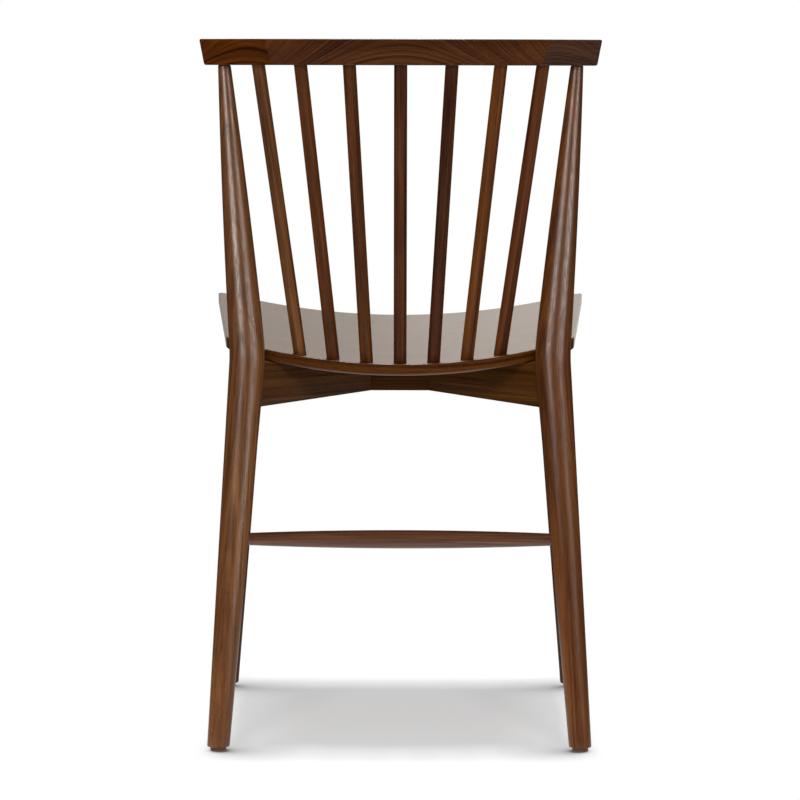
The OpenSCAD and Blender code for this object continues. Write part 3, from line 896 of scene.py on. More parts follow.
@dataclass
class Seat:
    """The dished seat board.

    Its outline is in the seat's own frame: the origin is the middle of its rear edge, with Y to
    the back.
    """

    plan: ChairPlan
    top_round: float = 1.2
    lower_round: float = 2.6
    arc_steps: int = 12
    edge_steps: int = 40
    rings_inside: int = 22

    def outline(self) -> list[Vector]:
        """Draws the outline in plan: arcs in front and behind, straight sides, rounded corners.

        Returns:
            The outline, anticlockwise from the middle of the front edge.
        """
        p = self.plan
        angle = math.atan((p.seat_front_width - p.seat_rear_width) / 2 / p.seat_depth)
        normal = Vector((math.cos(angle), math.sin(angle)))
        along = Vector((-math.sin(angle), math.cos(angle)))
        offset = p.seat_rear_width / 2 * math.cos(angle)
        rear = Vector((0, -p.seat_rear_radius))
        front = Vector((0, p.seat_front_radius - p.seat_depth))
        corners = []
        for edge, edge_radius, radius, toward in (
                (rear, p.seat_rear_radius, p.seat_rear_corner, 1),
                (front, p.seat_front_radius, p.seat_front_corner, -1)):
            across = offset - radius - edge.dot(normal)
            run = math.sqrt((edge_radius - radius) ** 2 - across * across)
            corners.append(edge + across * normal + toward * run * along)
        rear_corner, front_corner = corners
        rear_turn = math.atan2(*(rear_corner - rear).yx)
        front_turn = math.atan2(*(front_corner - front).yx)
        side_start = front_corner + p.seat_front_corner * normal
        side_end = rear_corner + p.seat_rear_corner * normal
        half = arc(front, p.seat_front_radius, -math.pi / 2, front_turn, self.edge_steps)
        half += arc(front_corner, p.seat_front_corner, front_turn, angle, self.arc_steps)
        half += [side_start.lerp(side_end, i / self.edge_steps) for i in range(self.edge_steps)]
        half += arc(rear_corner, p.seat_rear_corner, angle, rear_turn, self.arc_steps)
        half += arc(rear, p.seat_rear_radius, rear_turn, math.pi / 2, self.edge_steps)
        half += [Vector((0, 0))]
        return half + [Vector((-v.x, v.y)) for v in half[-2:0:-1]]

    def build(self, finish: Walnut, edge: Walnut) -> Piece:
        """Builds the board with its rounded arrises.

        Args:
            finish: the wood.
            edge: a darker, duller copy of the wood for the flat rear edge, as painted shade on that
                side.

        Returns:
            The seat.
        """
        outline = self.outline()
        count = len(outline)
        inward = []
        for i in range(count):
            run = (outline[(i + 1) % count] - outline[i - 1]).normalized()
            inward.append(Vector((-run.y, run.x)))
        matrix = self.plan.seat_matrix
        middle = Vector((0, -self.plan.seat_depth / 2))
        rings = []

        def ring(inset: float, scale: float, level: Callable[[float], float], drop: float) -> None:
            """Adds a ring of the outline.

            Args:
                inset: how far it is moved in.
                scale: how far it is then drawn towards the board's middle.
                level: the face that it is set on.
                drop: how far above that face it lies.
            """
            places = [middle + (p + n * inset - middle) * scale for p, n in zip(outline, inward)]
            rings.append([matrix @ Vector((q.x, q.y, level(q.x) + drop)) for q in places])

        inner = [math.sin(math.pi / 2 * k / self.rings_inside) for k in range(1, self.rings_inside)]
        under, upper = self.plan.seat_underside, self.plan.seat_face
        for scale in inner:
            ring(self.lower_round, scale, under, 0)
        for a in QUARTER:
            ring(self.lower_round * (1 - math.sin(a)), 1, under, self.lower_round * (1 - math.cos(a)))
        for a in QUARTER:
            ring(self.top_round * (1 - math.cos(a)), 1, upper, -self.top_round * (1 - math.sin(a)))
        for scale in inner[::-1]:
            ring(self.top_round, scale, upper, 0)
        into = matrix.inverted()
        poles = tuple(matrix @ Vector((0, middle.y, level(0))) for level in (under, upper))
        obj = loft("seat_board", rings, lambda place: into @ place, finish.build(), poles)
        obj.data.materials.append(edge.build())
        # The band between the two rounds is the board's edge; its rear part looks back and gets the
        # painted shade.
        band = (len(inner) + len(QUARTER) - 1) * count
        for face in obj.data.polygons[band:band + count]:
            face.material_index = int(face.normal.y > 0.5)
        return settle(obj, ["seat"])


@dataclass
class CrestRail:
    """The curved top rail: a middle piece and two end pieces, joined on slanted scarfs.

    Slants are in degrees, and a joint's distance from the middle plane is that on the top edge.
    """

    plan: ChairPlan
    width: float = 443.0
    end_slant: float = 10.6
    left_joint: float = 150.0
    right_joint: float = 164.0
    joint_slant: float = 17.6
    joint_gap: float = 0.1
    arris: float = 1.6
    least_arris: float = 0.15
    end_arris: float = 2.2
    step_length: float = 9.0
    end_board_turn: float = 19.0

    def section(self, inset: float) -> list[Plan]:
        """Draws the rail's section.

        Args:
            inset: how far it is drawn in on every side.

        Returns:
            Its points, as distance from the rail's axis and height.
        """
        p = self.plan
        lean = math.tan(math.radians(p.crest_rake))
        half = p.crest_thickness / 2 - inset
        corners = []
        for across, z in ((-half, p.crest_bottom + inset), (half, p.crest_bottom + inset),
                          (half, p.height - inset), (-half, p.height - inset)):
            corners.append((p.crest_radius + across + (z - p.crest_bottom) * lean, z))
        return rounded(corners, max(self.arris - inset, self.least_arris), 4)

    def piece(self, name: str, node: str, ends: Sequence[tuple[float, float, bool]],
              finish: Walnut, slot: str) -> Piece:
        """Builds one piece of the rail.

        Args:
            name: the piece's name.
            node: the node that it stands for.
            ends: for its two ends, X on the top edge, the run of the cut down to the underside
                and whether the end's arris is rounded.
            finish: the wood.
            slot: not used.

        Returns:
            The piece.
        """
        p = self.plan
        steps = max(6, round(abs(ends[0][0] - ends[1][0]) / self.step_length))
        near, far = (self.end_arris if end[2] else 0.0 for end in ends)
        rounds = [[(arris * (1 - math.cos(a)), arris * (1 - math.sin(a))) for a in QUARTER] if arris
                  else [(0.0, 0.0)] for arris in (near, far)]
        # A station is a share of the length between two depths, which are measured in from the
        # piece's cuts, and the inset of its section.
        stations = [(0.0, depth, 0.0, inset) for depth, inset in rounds[0]]
        stations += [(k / steps, near, far, 0.0) for k in range(1, steps)]
        stations += [(1.0, 0.0, depth, inset) for depth, inset in rounds[1][::-1]]
        toward = math.copysign(1, ends[1][0] - ends[0][0])
        rings = []
        for share, after_start, before_end, inset in stations:
            ring = []
            for radius, z in self.section(inset):
                drop = (p.height - z) / p.crest_height
                first = ends[0][0] + ends[0][1] * drop + toward * after_start
                last = ends[1][0] + ends[1][1] * drop - toward * before_end
                x = first + (last - first) * share
                ring.append(Vector((x, p.crest_axis_y + math.sqrt(radius ** 2 - x * x), z)))
            rings.append(ring)
        board = Matrix.Rotation(math.radians(self.end_board_turn * self.board_side(ends)), 3, "Z")
        back = Vector((0, p.depth / 2, p.crest_bottom))
        obj = loft(name, rings, lambda place: board @ (place - back), finish.build())
        return settle(obj, [node])

    def board_side(self, ends: Sequence[tuple[float, float, bool]]) -> int:
        """Which way a piece's plank is turned, so that its grain runs along the piece's chord."""
        middle = ends[0][0] + ends[1][0]
        return 0 if abs(middle) < self.width / 2 else int(math.copysign(1, middle))

    def build(self, middle: Walnut, left: Walnut, right: Walnut) -> None:
        """Builds the three pieces.

        Args:
            middle: the wood of the middle piece.
            left: the wood of the sitter's left end.
            right: the wood of the sitter's right end.
        """
        run = self.plan.crest_height * math.tan(math.radians(self.joint_slant))
        undercut = self.plan.crest_height * math.tan(math.radians(self.end_slant))
        self.piece("crest_rail_middle", "crest_center",
                   [(self.left_joint - self.joint_gap, -run, False),
                    (-self.right_joint + self.joint_gap, run, False)], middle, "crest_middle_walnut")
        self.piece("crest_rail_left_end", "crest_left_end",
                   [(self.width / 2, -undercut, True), (self.left_joint, -run, False)],
                   left, "crest_end_walnut")
        self.piece("crest_rail_right_end", "crest_right_end",
                   [(-self.right_joint, run, False), (-self.width / 2, undercut, True)],
                   right, "crest_end_walnut")


@dataclass(frozen=True)
class Turning:
    """The sizes of one turned or shaped rod, in millimetres.

    Attributes:
        start: where its axis starts.
        end: where its axis ends.
        start_radius: its radius at the start.
        end_radius: its radius at the end.
        middle_radius: its radius at the bend, or None for an even taper.
        bend: the corner of its axis, or None for a straight one.
        bend_round: the radius that rounds the corner.
        start_cut: the normal of the plane that trims its start, or None for a square end.
        end_cut: the same for its end.
        start_swell: how much thicker than a straight taper its first half gets.
        end_swell: the same for its second half.
        softness: the length that blends the two halves.
        facing: the direction that its section's Y axis turns to.
        rings: how many parts its length has.
        segments: how many sides it has.
    """

    start: Vector
    end: Vector
    start_radius: float
    end_radius: float
    middle_radius: float | None = None
    bend: Vector | None = None
    bend_round: float = 0.0
    start_cut: Vector | None = None
    end_cut: Vector | None = None
    start_swell: float = 0.0
    end_swell: float = 0.0
    softness: float = 0.0
    facing: Point = (0.0, 1.0, 0.0)
    rings: int = 40
    segments: int = 48


class Turnery:
    """Makes every round piece of the chair with one node tree, which follows the piece's axis."""

    def __init__(self) -> None:
        """Builds the tree and notes its inputs' identifiers."""
        self.tree, self.identifiers = node_group("turned_piece", {
            "Float": ("Start Radius", "Middle Radius", "End Radius", "Middle Place", "Start Swell",
                      "End Swell", "Softness", "Bend Round"),
            "Vector": ("Start", "Bend", "End", "Start Cut", "End Cut", "Facing", "Board Place"),
            "Int": ("Rings", "Segments"), "Material": ("Wood",)})
        self._fill()

    def _fill(self) -> None:
        """Adds the nodes: a cylinder whose rings are laid along the axis, sized and trimmed."""
        tree = self.tree
        given = add(tree, "NodeGroupInput").outputs
        line = add(tree, "GeometryNodeCurvePrimitiveLine", {
            "Start": given["Start"], "End": given["End"]})
        three = add(tree, "GeometryNodeResampleCurve", {"Curve": line, "Count": 3})
        is_middle = add(tree, "FunctionNodeCompare", {2: add(tree, "GeometryNodeInputIndex"), 3: 1},
                        data_type="INT", operation="EQUAL")
        bent = add(tree, "GeometryNodeSetPosition", {
            "Geometry": three, "Selection": is_middle, "Position": given["Bend"]})
        path = add(tree, "GeometryNodeFilletCurve", {
            "Curve": bent, "Radius": given["Bend Round"], "Count": 24}, mode="POLY")
        cylinder = add(tree, "GeometryNodeMeshCylinder", {
            "Vertices": given["Segments"], "Side Segments": given["Rings"], "Radius": 1.0,
            "Depth": 1.0}, fill_type="NGON")
        unit = add(tree, "ShaderNodeSeparateXYZ", {0: add(tree, "GeometryNodeInputPosition")})
        place = add(tree, "ShaderNodeMath", {0: unit.outputs["Z"], 1: 0.5},
                    operation="ADD").outputs[0]
        radius = self._radius(given, place)
        sample = add(tree, "GeometryNodeSampleCurve", {"Curves": path, "Factor": place},
                     mode="FACTOR", data_type="FLOAT")
        tangent = add(tree, "ShaderNodeVectorMath", {0: sample.outputs["Tangent"]},
                      operation="NORMALIZE").outputs[0]
        sideways = add(tree, "ShaderNodeVectorMath", {0: given["Facing"], 1: tangent},
                       operation="CROSS_PRODUCT")
        aside = add(tree, "ShaderNodeVectorMath", {0: sideways}, operation="NORMALIZE")
        ahead = add(tree, "ShaderNodeVectorMath", {0: tangent, 1: aside}, operation="CROSS_PRODUCT")
        flat = [add(tree, "ShaderNodeMath", {0: unit.outputs[axis], 1: radius}, operation="MULTIPLY")
                for axis in ("X", "Y")]
        point = sample.outputs["Position"]
        for length, way in zip(flat, (aside, ahead)):
            step = add(tree, "ShaderNodeVectorMath", {0: way, "Scale": length}, operation="SCALE")
            point = add(tree, "ShaderNodeVectorMath", {0: point, 1: step}, operation="ADD").outputs[0]
        for end in ("Start", "End"):
            point = self._trimmed(given, point, tangent, place, end)
        length = add(tree, "GeometryNodeCurveLength", {"Curve": path})
        board = add(tree, "ShaderNodeCombineXYZ", {
            "X": add(tree, "ShaderNodeMath", {0: place, 1: length}, operation="MULTIPLY"),
            "Y": flat[0], "Z": flat[1]})
        grain = add(tree, "ShaderNodeVectorMath", {0: board, 1: given["Board Place"]},
                    operation="ADD")
        stored = add(tree, "GeometryNodeStoreNamedAttribute", {
            "Geometry": cylinder, "Name": GRAIN, "Value": grain},
            data_type="FLOAT_VECTOR", domain="POINT")
        placed = add(tree, "GeometryNodeSetPosition", {"Geometry": stored, "Position": point})
        whole = add(tree, "GeometryNodeRealizeInstances", {"Geometry": placed})
        dressed = add(tree, "GeometryNodeSetMaterial", {"Geometry": whole, "Material": given["Wood"]})
        add(tree, "NodeGroupOutput", {"Geometry": dressed})

    def _radius(self, given: bpy.types.bpy_prop_collection, place: Socket) -> Socket:
        """Works out the radius: two tapers, each with its swell, that meet at the middle place.

        Args:
            given: the tree's inputs.
            place: the share of the axis, from 0 to 1.

        Returns:
            The radius.
        """
        tree = self.tree
        middle = given["Middle Place"]
        after = add(tree, "ShaderNodeMath", {0: place, 1: middle}, operation="SUBTRACT")
        rest = add(tree, "ShaderNodeMath", {0: 1.0, 1: middle}, operation="SUBTRACT")
        shares = (add(tree, "ShaderNodeMath", {0: place, 1: middle}, operation="DIVIDE"),
                  add(tree, "ShaderNodeMath", {0: after, 1: rest}, operation="DIVIDE"))
        tapers = []
        names = (("Start Radius", "Middle Radius", "Start Swell"),
                 ("Middle Radius", "End Radius", "End Swell"))
        for share, (first, last, swell) in zip(shares, names):
            gain = add(tree, "ShaderNodeMath", {0: given[last], 1: given[first]},
                       operation="SUBTRACT")
            straight = add(tree, "ShaderNodeMath", {0: share, 1: gain, 2: given[first]},
                           operation="MULTIPLY_ADD")
            left = add(tree, "ShaderNodeMath", {0: 1.0, 1: share}, operation="SUBTRACT")
            # The product of share and left is at most a quarter, so four times it is a whole swell.
            hump = add(tree, "ShaderNodeMath", {0: share, 1: left}, operation="MULTIPLY")
            height = add(tree, "ShaderNodeMath", {0: given[swell], 1: 4.0}, operation="MULTIPLY")
            tapers.append(add(tree, "ShaderNodeMath", {0: hump, 1: height, 2: straight},
                              operation="MULTIPLY_ADD"))
        return add(tree, "ShaderNodeMath", {0: tapers[0], 1: tapers[1], 2: given["Softness"]},
                   operation="SMOOTH_MIN").outputs[0]

    def _trimmed(self, given: bpy.types.bpy_prop_collection, point: Socket, tangent: Socket,
                 place: Socket, end: str) -> Socket:
        """Slides one end's ring along the axis onto the plane that trims it.

        Args:
            given: the tree's inputs.
            point: the place of each point so far.
            tangent: the axis's direction.
            place: the share of the axis, from 0 to 1.
            end: Start or End.

        Returns:
            The place of each point.
        """
        tree = self.tree
        tolerance = 0.0001
        limit, test = (tolerance, "LESS_THAN") if end == "Start" else (1 - tolerance, "GREATER_THAN")
        cut = given[end + " Cut"]
        gap = add(tree, "ShaderNodeVectorMath", {0: given[end], 1: point}, operation="SUBTRACT")
        rise = add(tree, "ShaderNodeVectorMath", {0: gap, 1: cut}, operation="DOT_PRODUCT")
        lean = add(tree, "ShaderNodeVectorMath", {0: tangent, 1: cut}, operation="DOT_PRODUCT")
        slide = add(tree, "ShaderNodeMath", {0: rise.outputs["Value"], 1: lean.outputs["Value"]},
                    operation="DIVIDE")
        at_end = add(tree, "ShaderNodeMath", {0: place, 1: limit}, operation=test)
        amount = add(tree, "ShaderNodeMath", {0: slide, 1: at_end}, operation="MULTIPLY")
        step = add(tree, "ShaderNodeVectorMath", {0: tangent, "Scale": amount}, operation="SCALE")
        return add(tree, "ShaderNodeVectorMath", {0: point, 1: step}, operation="ADD").outputs[0]

    def turn(self, name: str, shape: Turning, wood: Material, board: Point) -> Piece:
        """Makes one rod.

        Args:
            name: the piece's name.
            shape: its sizes.
            wood: its finish.
            board: where in the plank its axis starts, in millimetres.

        Returns:
            The new object, with a plain mesh.
        """
        bend = shape.bend or (shape.start + shape.end) / 2
        before, after = (bend - shape.start).length, (shape.end - bend).length
        middle = shape.middle_radius
        if middle is None:
            middle = (shape.start_radius * after + shape.end_radius * before) / (before + after)
        obj = linked(name, bpy.data.meshes.new(name))
        grow(obj, self.tree, self.identifiers, {
            "Start": shape.start * MM, "Bend": bend * MM, "End": shape.end * MM,
            "Start Radius": shape.start_radius * MM, "Middle Radius": middle * MM,
            "End Radius": shape.end_radius * MM, "Middle Place": before / (before + after),
            "Start Swell": shape.start_swell * MM, "End Swell": shape.end_swell * MM,
            "Softness": shape.softness * MM, "Bend Round": shape.bend_round * MM,
            "Start Cut": shape.start_cut or (bend - shape.start).normalized(),
            "End Cut": shape.end_cut or (shape.end - bend).normalized(),
            "Facing": Vector(shape.facing), "Board Place": Vector(board) * MM,
            "Rings": shape.rings, "Segments": shape.segments, "Wood": wood})
        smooth(obj)
        return obj


@dataclass
class SpindleBack:
    """Seven round spindles that fan out from the seat to the crest rail and sink into both."""

    plan: ChairPlan
    turnery: Turnery
    diameter: float = 14.5
    sink: float = 0.3

    def build(self, woods: Sequence[Walnut]) -> None:
        """Builds the spindles, from the sitter's left to right.

        Args:
            woods: the wood of each spindle.
        """
        for number, wood in enumerate(woods, start=1):
            place = (len(woods) + 1) // 2 - number
            foot, head = self.plan.spindle_foot(place), self.plan.spindle_head(place)
            way = (head - foot).normalized()
            shape = Turning(
                foot - way * self.sink, head + way * self.sink, self.diameter / 2,
                self.diameter / 2, start_cut=self.plan.seat_normal(foot.x),
                end_cut=Vector((0, 0, 1)), rings=24, segments=40)
            # Each spindle comes from another part of the plank.
            board = (310 * number, 23 * (number % 3) - 20, 17 * (number % 4) - 26)
            obj = self.turnery.turn(f"spindle_rod_{number}", shape, wood.build(), board)
            settle(obj, [f"spindle_{number}"])


@dataclass
class Legs:
    """Two bent rear legs that run on as back posts, and two straight front legs.

    A board is the place in its plank where a left leg's axis starts.
    """

    plan: ChairPlan
    turnery: Turnery
    bend_round: float = 130.0
    taper_radius: float = 20.1
    softness: float = 1.6
    post_radius: float = 7.0
    post_swell: float = 1.3
    front_top_radius: float = 18.0
    foot_arris: float = 1.3
    rear_board: Point = (900.0, 4.0, -6.0)
    front_board: Point = (500.0, 12.0, 9.0)

    def build(self, woods: dict[Side, Walnut], front: Walnut) -> None:
        """Builds the four legs.

        Args:
            woods: the wood of each rear leg.
            front: the wood of the front legs, darker and duller than the rear legs' as painted shade.
        """
        level = Vector((0, 0, 1))
        p = self.plan
        for side in Side:
            foot, bend = p.rear_foot(side), p.bend(side)
            self.leg(f"rear_leg_and_post_{side.word}", f"rear_leg_{side.word}", Turning(
                at_height(foot, bend, p.glide_height), p.under_crest(side.value * p.post_spread / 2),
                self.radius(self.taper_radius, p.glide_height), self.post_radius,
                middle_radius=self.taper_radius, bend=bend, bend_round=self.bend_round,
                start_cut=level, end_cut=level, end_swell=self.post_swell, softness=self.softness,
                rings=120, segments=72), woods[side], self.rear_board, side)
            foot, top = p.front_foot(side), p.front_top(side)
            low = at_height(foot, top, p.glide_height)
            high = at_height(foot, top, self.under_seat(top))
            self.leg(f"front_leg_shaft_{side.word}", f"front_leg_{side.word}", Turning(
                low, high, self.radius(self.front_top_radius, low.z),
                self.radius(self.front_top_radius, high.z), start_cut=level,
                end_cut=self.seat_cut(high), segments=64), front, self.front_board, side)

    def leg(self, name: str, node: str, shape: Turning, wood: Walnut, board: Point,
            side: Side) -> None:
        """Builds one leg.

        Args:
            name: the piece's name.
            node: the node that it stands for.
            shape: its sizes.
            wood: its wood.
            board: where in the left plank its axis starts, which side mirrors for the right one.
            side: the leg's side.
        """
        start = (board[0] * side.value, board[1], board[2])
        obj = self.turnery.turn(name, shape, wood.build(), start)
        soften(obj, self.foot_arris, angle=60)
        settle(obj, [node])

    def radius(self, top: float, z: float) -> float:
        """Radius at a height, for a leg that has a given radius at the height of the bends."""
        share = z / (self.plan.seat_height + self.plan.bend_rise)
        return self.plan.foot_radius + (top - self.plan.foot_radius) * share

    def under_seat(self, place: Vector) -> float:
        """Measures the seat's underside over a place in plan.

        Args:
            place: the place.

        Returns:
            The underside's height.
        """
        matrix = self.plan.seat_matrix
        local = Vector((place.x, 0, self.plan.seat_underside(place.x)))
        # The seat slopes, so a step along its own Y falls a little short; four come close enough.
        for _ in range(4):
            local.y += place.y - (matrix @ local).y
        return (matrix @ local).z

    def seat_cut(self, place: Vector) -> Vector:
        """Finds the normal of the seat's underside over a place.

        Args:
            place: the place.

        Returns:
            The upward normal.
        """
        radius = self.plan.seat_dish + self.plan.seat_thickness
        local = Vector((-place.x, 0, math.sqrt(radius ** 2 - place.x ** 2))).normalized()
        return self.plan.seat_matrix.to_3x3() @ local


@dataclass
class Stretchers:
    """Two side stretchers between the legs and one between them, each thickest in the middle.

    A board is the place in its plank where a stretcher's axis starts, on the left for a pair.
    """

    plan: ChairPlan
    turnery: Turnery
    diameter: float = 21.5
    end_diameter: float = 13.2
    side_board: Point = (700.0, 8.0, 3.0)
    middle_board: Point = (120.0, 6.0, 2.0)

    def build(self, sides: Walnut, middle: Walnut) -> None:
        """Builds the three stretchers.

        Args:
            sides: the wood of the side stretchers.
            middle: the wood of the stretcher between them.
        """
        p = self.plan
        halves = []
        for side in Side:
            rear = at_height(p.rear_foot(side), p.bend(side), p.stretcher_height)
            front = at_height(p.front_foot(side), p.front_top(side), p.stretcher_height)
            halves.append((rear + front) / 2)
            board = (self.side_board[0] * side.value, *self.side_board[1:])
            obj = self.turnery.turn(f"side_stretcher_rod_{side.word}", self.rod(rear, front),
                                    sides.build(), board)
            settle(obj, [f"side_stretcher_{side.word}"])
        shape = replace(self.rod(*halves), rings=64, segments=56)
        obj = self.turnery.turn("medial_stretcher_rod", shape, middle.build(), self.middle_board)
        settle(obj, ["medial_stretcher"])

    def rod(self, start: Vector, end: Vector) -> Turning:
        """Sizes a rod that swells from its ends to its middle.

        Args:
            start: where its axis starts.
            end: where its axis ends.

        Returns:
            Its sizes.
        """
        thin, thick = self.end_diameter / 2, self.diameter / 2
        swell = (thick - thin) / 4
        return Turning(start, end, thin, thin, middle_radius=thick, start_swell=swell,
                       end_swell=swell, facing=(0, 0, 1))


@dataclass
class SeatFrame:
    """The crossed rails and glue blocks under the seat, with their arrises eased."""

    plan: ChairPlan
    arris: float = 0.8

    def build(self, woods: dict[str, Walnut]) -> None:
        """Dresses a softened copy of each solid.

        Args:
            woods: the wood of each node.
        """
        rear, front = self.plan.bend(Side.LEFT), self.plan.front_top(Side.RIGHT)
        along = Vector((front.x - rear.x, front.y - rear.y, 0)).normalized()
        for node, wood in woods.items():
            way = along.copy()
            if node.endswith("block"):
                way = Vector((1, 0, 0))
            elif node.endswith("right"):
                way.x = -way.x
            up = Vector((0, 0, 1))
            turn = Matrix((way, up.cross(way), up))
            obj = copy_of(node, node + "_wood", wood.build())
            store_grain(obj, lambda place, turn=turn: turn @ place)
            soften(obj, self.arris, angle=50, segments=2)
            settle(obj, [node])


def copy_of(node: str, name: str, material: Material) -> Piece:
    """Copies a node's mesh into a new piece, with its loose triangles merged into flat faces.

    Args:
        node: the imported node.
        name: the new piece's name.
        material: its finish.

    Returns:
        The new object.
    """
    mesh = bpy.data.meshes.new(name)
    build = bmesh.new()
    build.from_mesh(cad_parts[node].data)
    bmesh.ops.remove_doubles(build, verts=build.verts, dist=SAME_CORNER * MM)
    bmesh.ops.dissolve_limit(build, angle_limit=math.radians(SAME_FACE), verts=build.verts,
                             edges=build.edges)
    build.to_mesh(mesh)
    build.free()
    obj = linked(name, mesh)
    mesh.materials.clear()
    mesh.materials.append(material)
    return obj


@dataclass
class Glides:
    """The four glides under the feet: a revolved section, open in the middle for the nail.

    Attributes:
        plan: the chair's sizes.
        radius: a glide's radius.
        bevel: the chamfer of its lower arris.
        top_bevel: the chamfer of its upper arris.
        nail_radius: the radius of the nail's hole.
        head_radius: the radius of the recess for the nail's head.
        head_recess: the recess's depth.
        gap: the air between a glide and its leg.
        path_radius: the radius of the circle that carries the section.
        segments: how many sides a glide has.
    """

    plan: ChairPlan
    radius: float = 9.0
    bevel: float = 0.8
    top_bevel: float = 0.4
    nail_radius: float = 1.35
    head_radius: float = 3.7
    head_recess: float = 2.5
    gap: float = 0.1
    path_radius: float = 1.0
    segments: int = 64

    def section(self) -> list[Plan]:
        """Draws the section.

        Returns:
            Its corners, as distance from the nail's axis and height.
        """
        top = self.plan.glide_height - self.gap
        return [(self.radius - self.bevel, 0), (self.radius, self.bevel),
                (self.radius, top - self.top_bevel), (self.radius - self.top_bevel, top),
                (self.nail_radius, top), (self.nail_radius, self.head_recess),
                (self.head_radius, self.head_recess), (self.head_radius, 0)]

    def tree(self) -> tuple[Tree, dict[str, str]]:
        """Builds the node tree that revolves the section round an upright axis.

        Returns:
            The tree, and the identifiers of its inputs by name.
        """
        tree, identifiers = node_group("revolved_glide", {
            "Geometry": ("Section",), "Vector": ("Axis Place",), "Int": ("Segments",),
            "Material": ("Plastic",)})
        given = add(tree, "NodeGroupInput").outputs
        outline = add(tree, "GeometryNodeMeshToCurve", {"Mesh": given["Section"]})
        circle = add(tree, "GeometryNodeCurvePrimitiveCircle", {
            "Resolution": given["Segments"], "Radius": self.path_radius * MM}, mode="RADIUS")
        solid = add(tree, "GeometryNodeCurveToMesh", {
            "Curve": circle, "Profile Curve": outline, "Scale": 1.0})
        moved = add(tree, "GeometryNodeSetPosition", {
            "Geometry": solid, "Offset": given["Axis Place"]})
        whole = add(tree, "GeometryNodeRealizeInstances", {"Geometry": moved})
        dressed = add(tree, "GeometryNodeSetMaterial", {
            "Geometry": whole, "Material": given["Plastic"]})
        add(tree, "NodeGroupOutput", {"Geometry": dressed})
        return tree, identifiers

    def build(self, plastic: Material, steel: Material) -> None:
        """Builds the glides and dresses their nails.

        Args:
            plastic: the glides' finish.
            steel: the nails' finish.
        """
        tree, identifiers = self.tree()
        p = self.plan
        corners = [((r - self.path_radius) * MM, -z * MM, 0) for r, z in self.section()]
        edges = [(i, (i + 1) % len(corners)) for i in range(len(corners))]
        for side in Side:
            places = {"rear": at_height(p.rear_foot(side), p.bend(side), p.glide_height),
                      "front": at_height(p.front_foot(side), p.front_top(side), p.glide_height)}
            for end, place in places.items():
                name = f"glide_disc_{end}_{side.word}"
                mesh = bpy.data.meshes.new(name)
                mesh.from_pydata(corners, edges, [])
                obj = linked(name, mesh)
                grow(obj, tree, identifiers, {
                    "Axis Place": Vector((place.x, place.y, 0)) * MM, "Segments": self.segments,
                    "Plastic": plastic})
                build = bmesh.new()
                build.from_mesh(obj.data)
                bmesh.ops.recalc_face_normals(build, faces=build.faces)
                build.to_mesh(obj.data)
                build.free()
                smooth(obj)
                settle(obj, [f"glide_{end}_{side.word}"])
        dress("glide_nails", steel)


def dress(node: str, material: Material) -> None:
    """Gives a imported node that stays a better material.

    Args:
        node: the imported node.
        material: its finish.
    """
    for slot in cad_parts[node].material_slots:
        slot.material = material
    LOG.info("%s: kept, %s", node, material.name)


@dataclass(frozen=True)
class SoftBox:
    """A rectangular lamp that the camera doesn't see, with its lengths in millimetres.

    Attributes:
        name: the lamp's name.
        place: its middle.
        aim: what it points at.
        size: its width and height.
        power: its power in watts.
        turn: how far it is turned in its own plane, in degrees.
        colour: the colour of its light.
        spread: the angle that its light fills, in degrees.
    """

    name: str
    place: Point
    aim: Point
    size: Plan
    power: float
    turn: float = 0.0
    colour: str = "#ffffff"
    spread: float = 180.0

    def hang(self) -> Piece:
        """Hangs the lamp in the studio.

        Returns:
            The lamp.
        """
        light = bpy.data.lights.new(self.name, "AREA")
        light.shape = "RECTANGLE"
        light.size, light.size_y = self.size[0] * MM, self.size[1] * MM
        light.energy = self.power
        light.color = linear(self.colour)[:3]
        light.spread = math.radians(self.spread)
        obj = linked(self.name, light)
        obj.location = Vector(self.place) * MM
        way = (Vector(self.aim) - Vector(self.place)).to_track_quat("-Z", "Y").to_matrix()
        obj.rotation_euler = (way @ Matrix.Rotation(math.radians(self.turn), 3, "Z")).to_euler()
        obj.visible_camera = False
        return obj


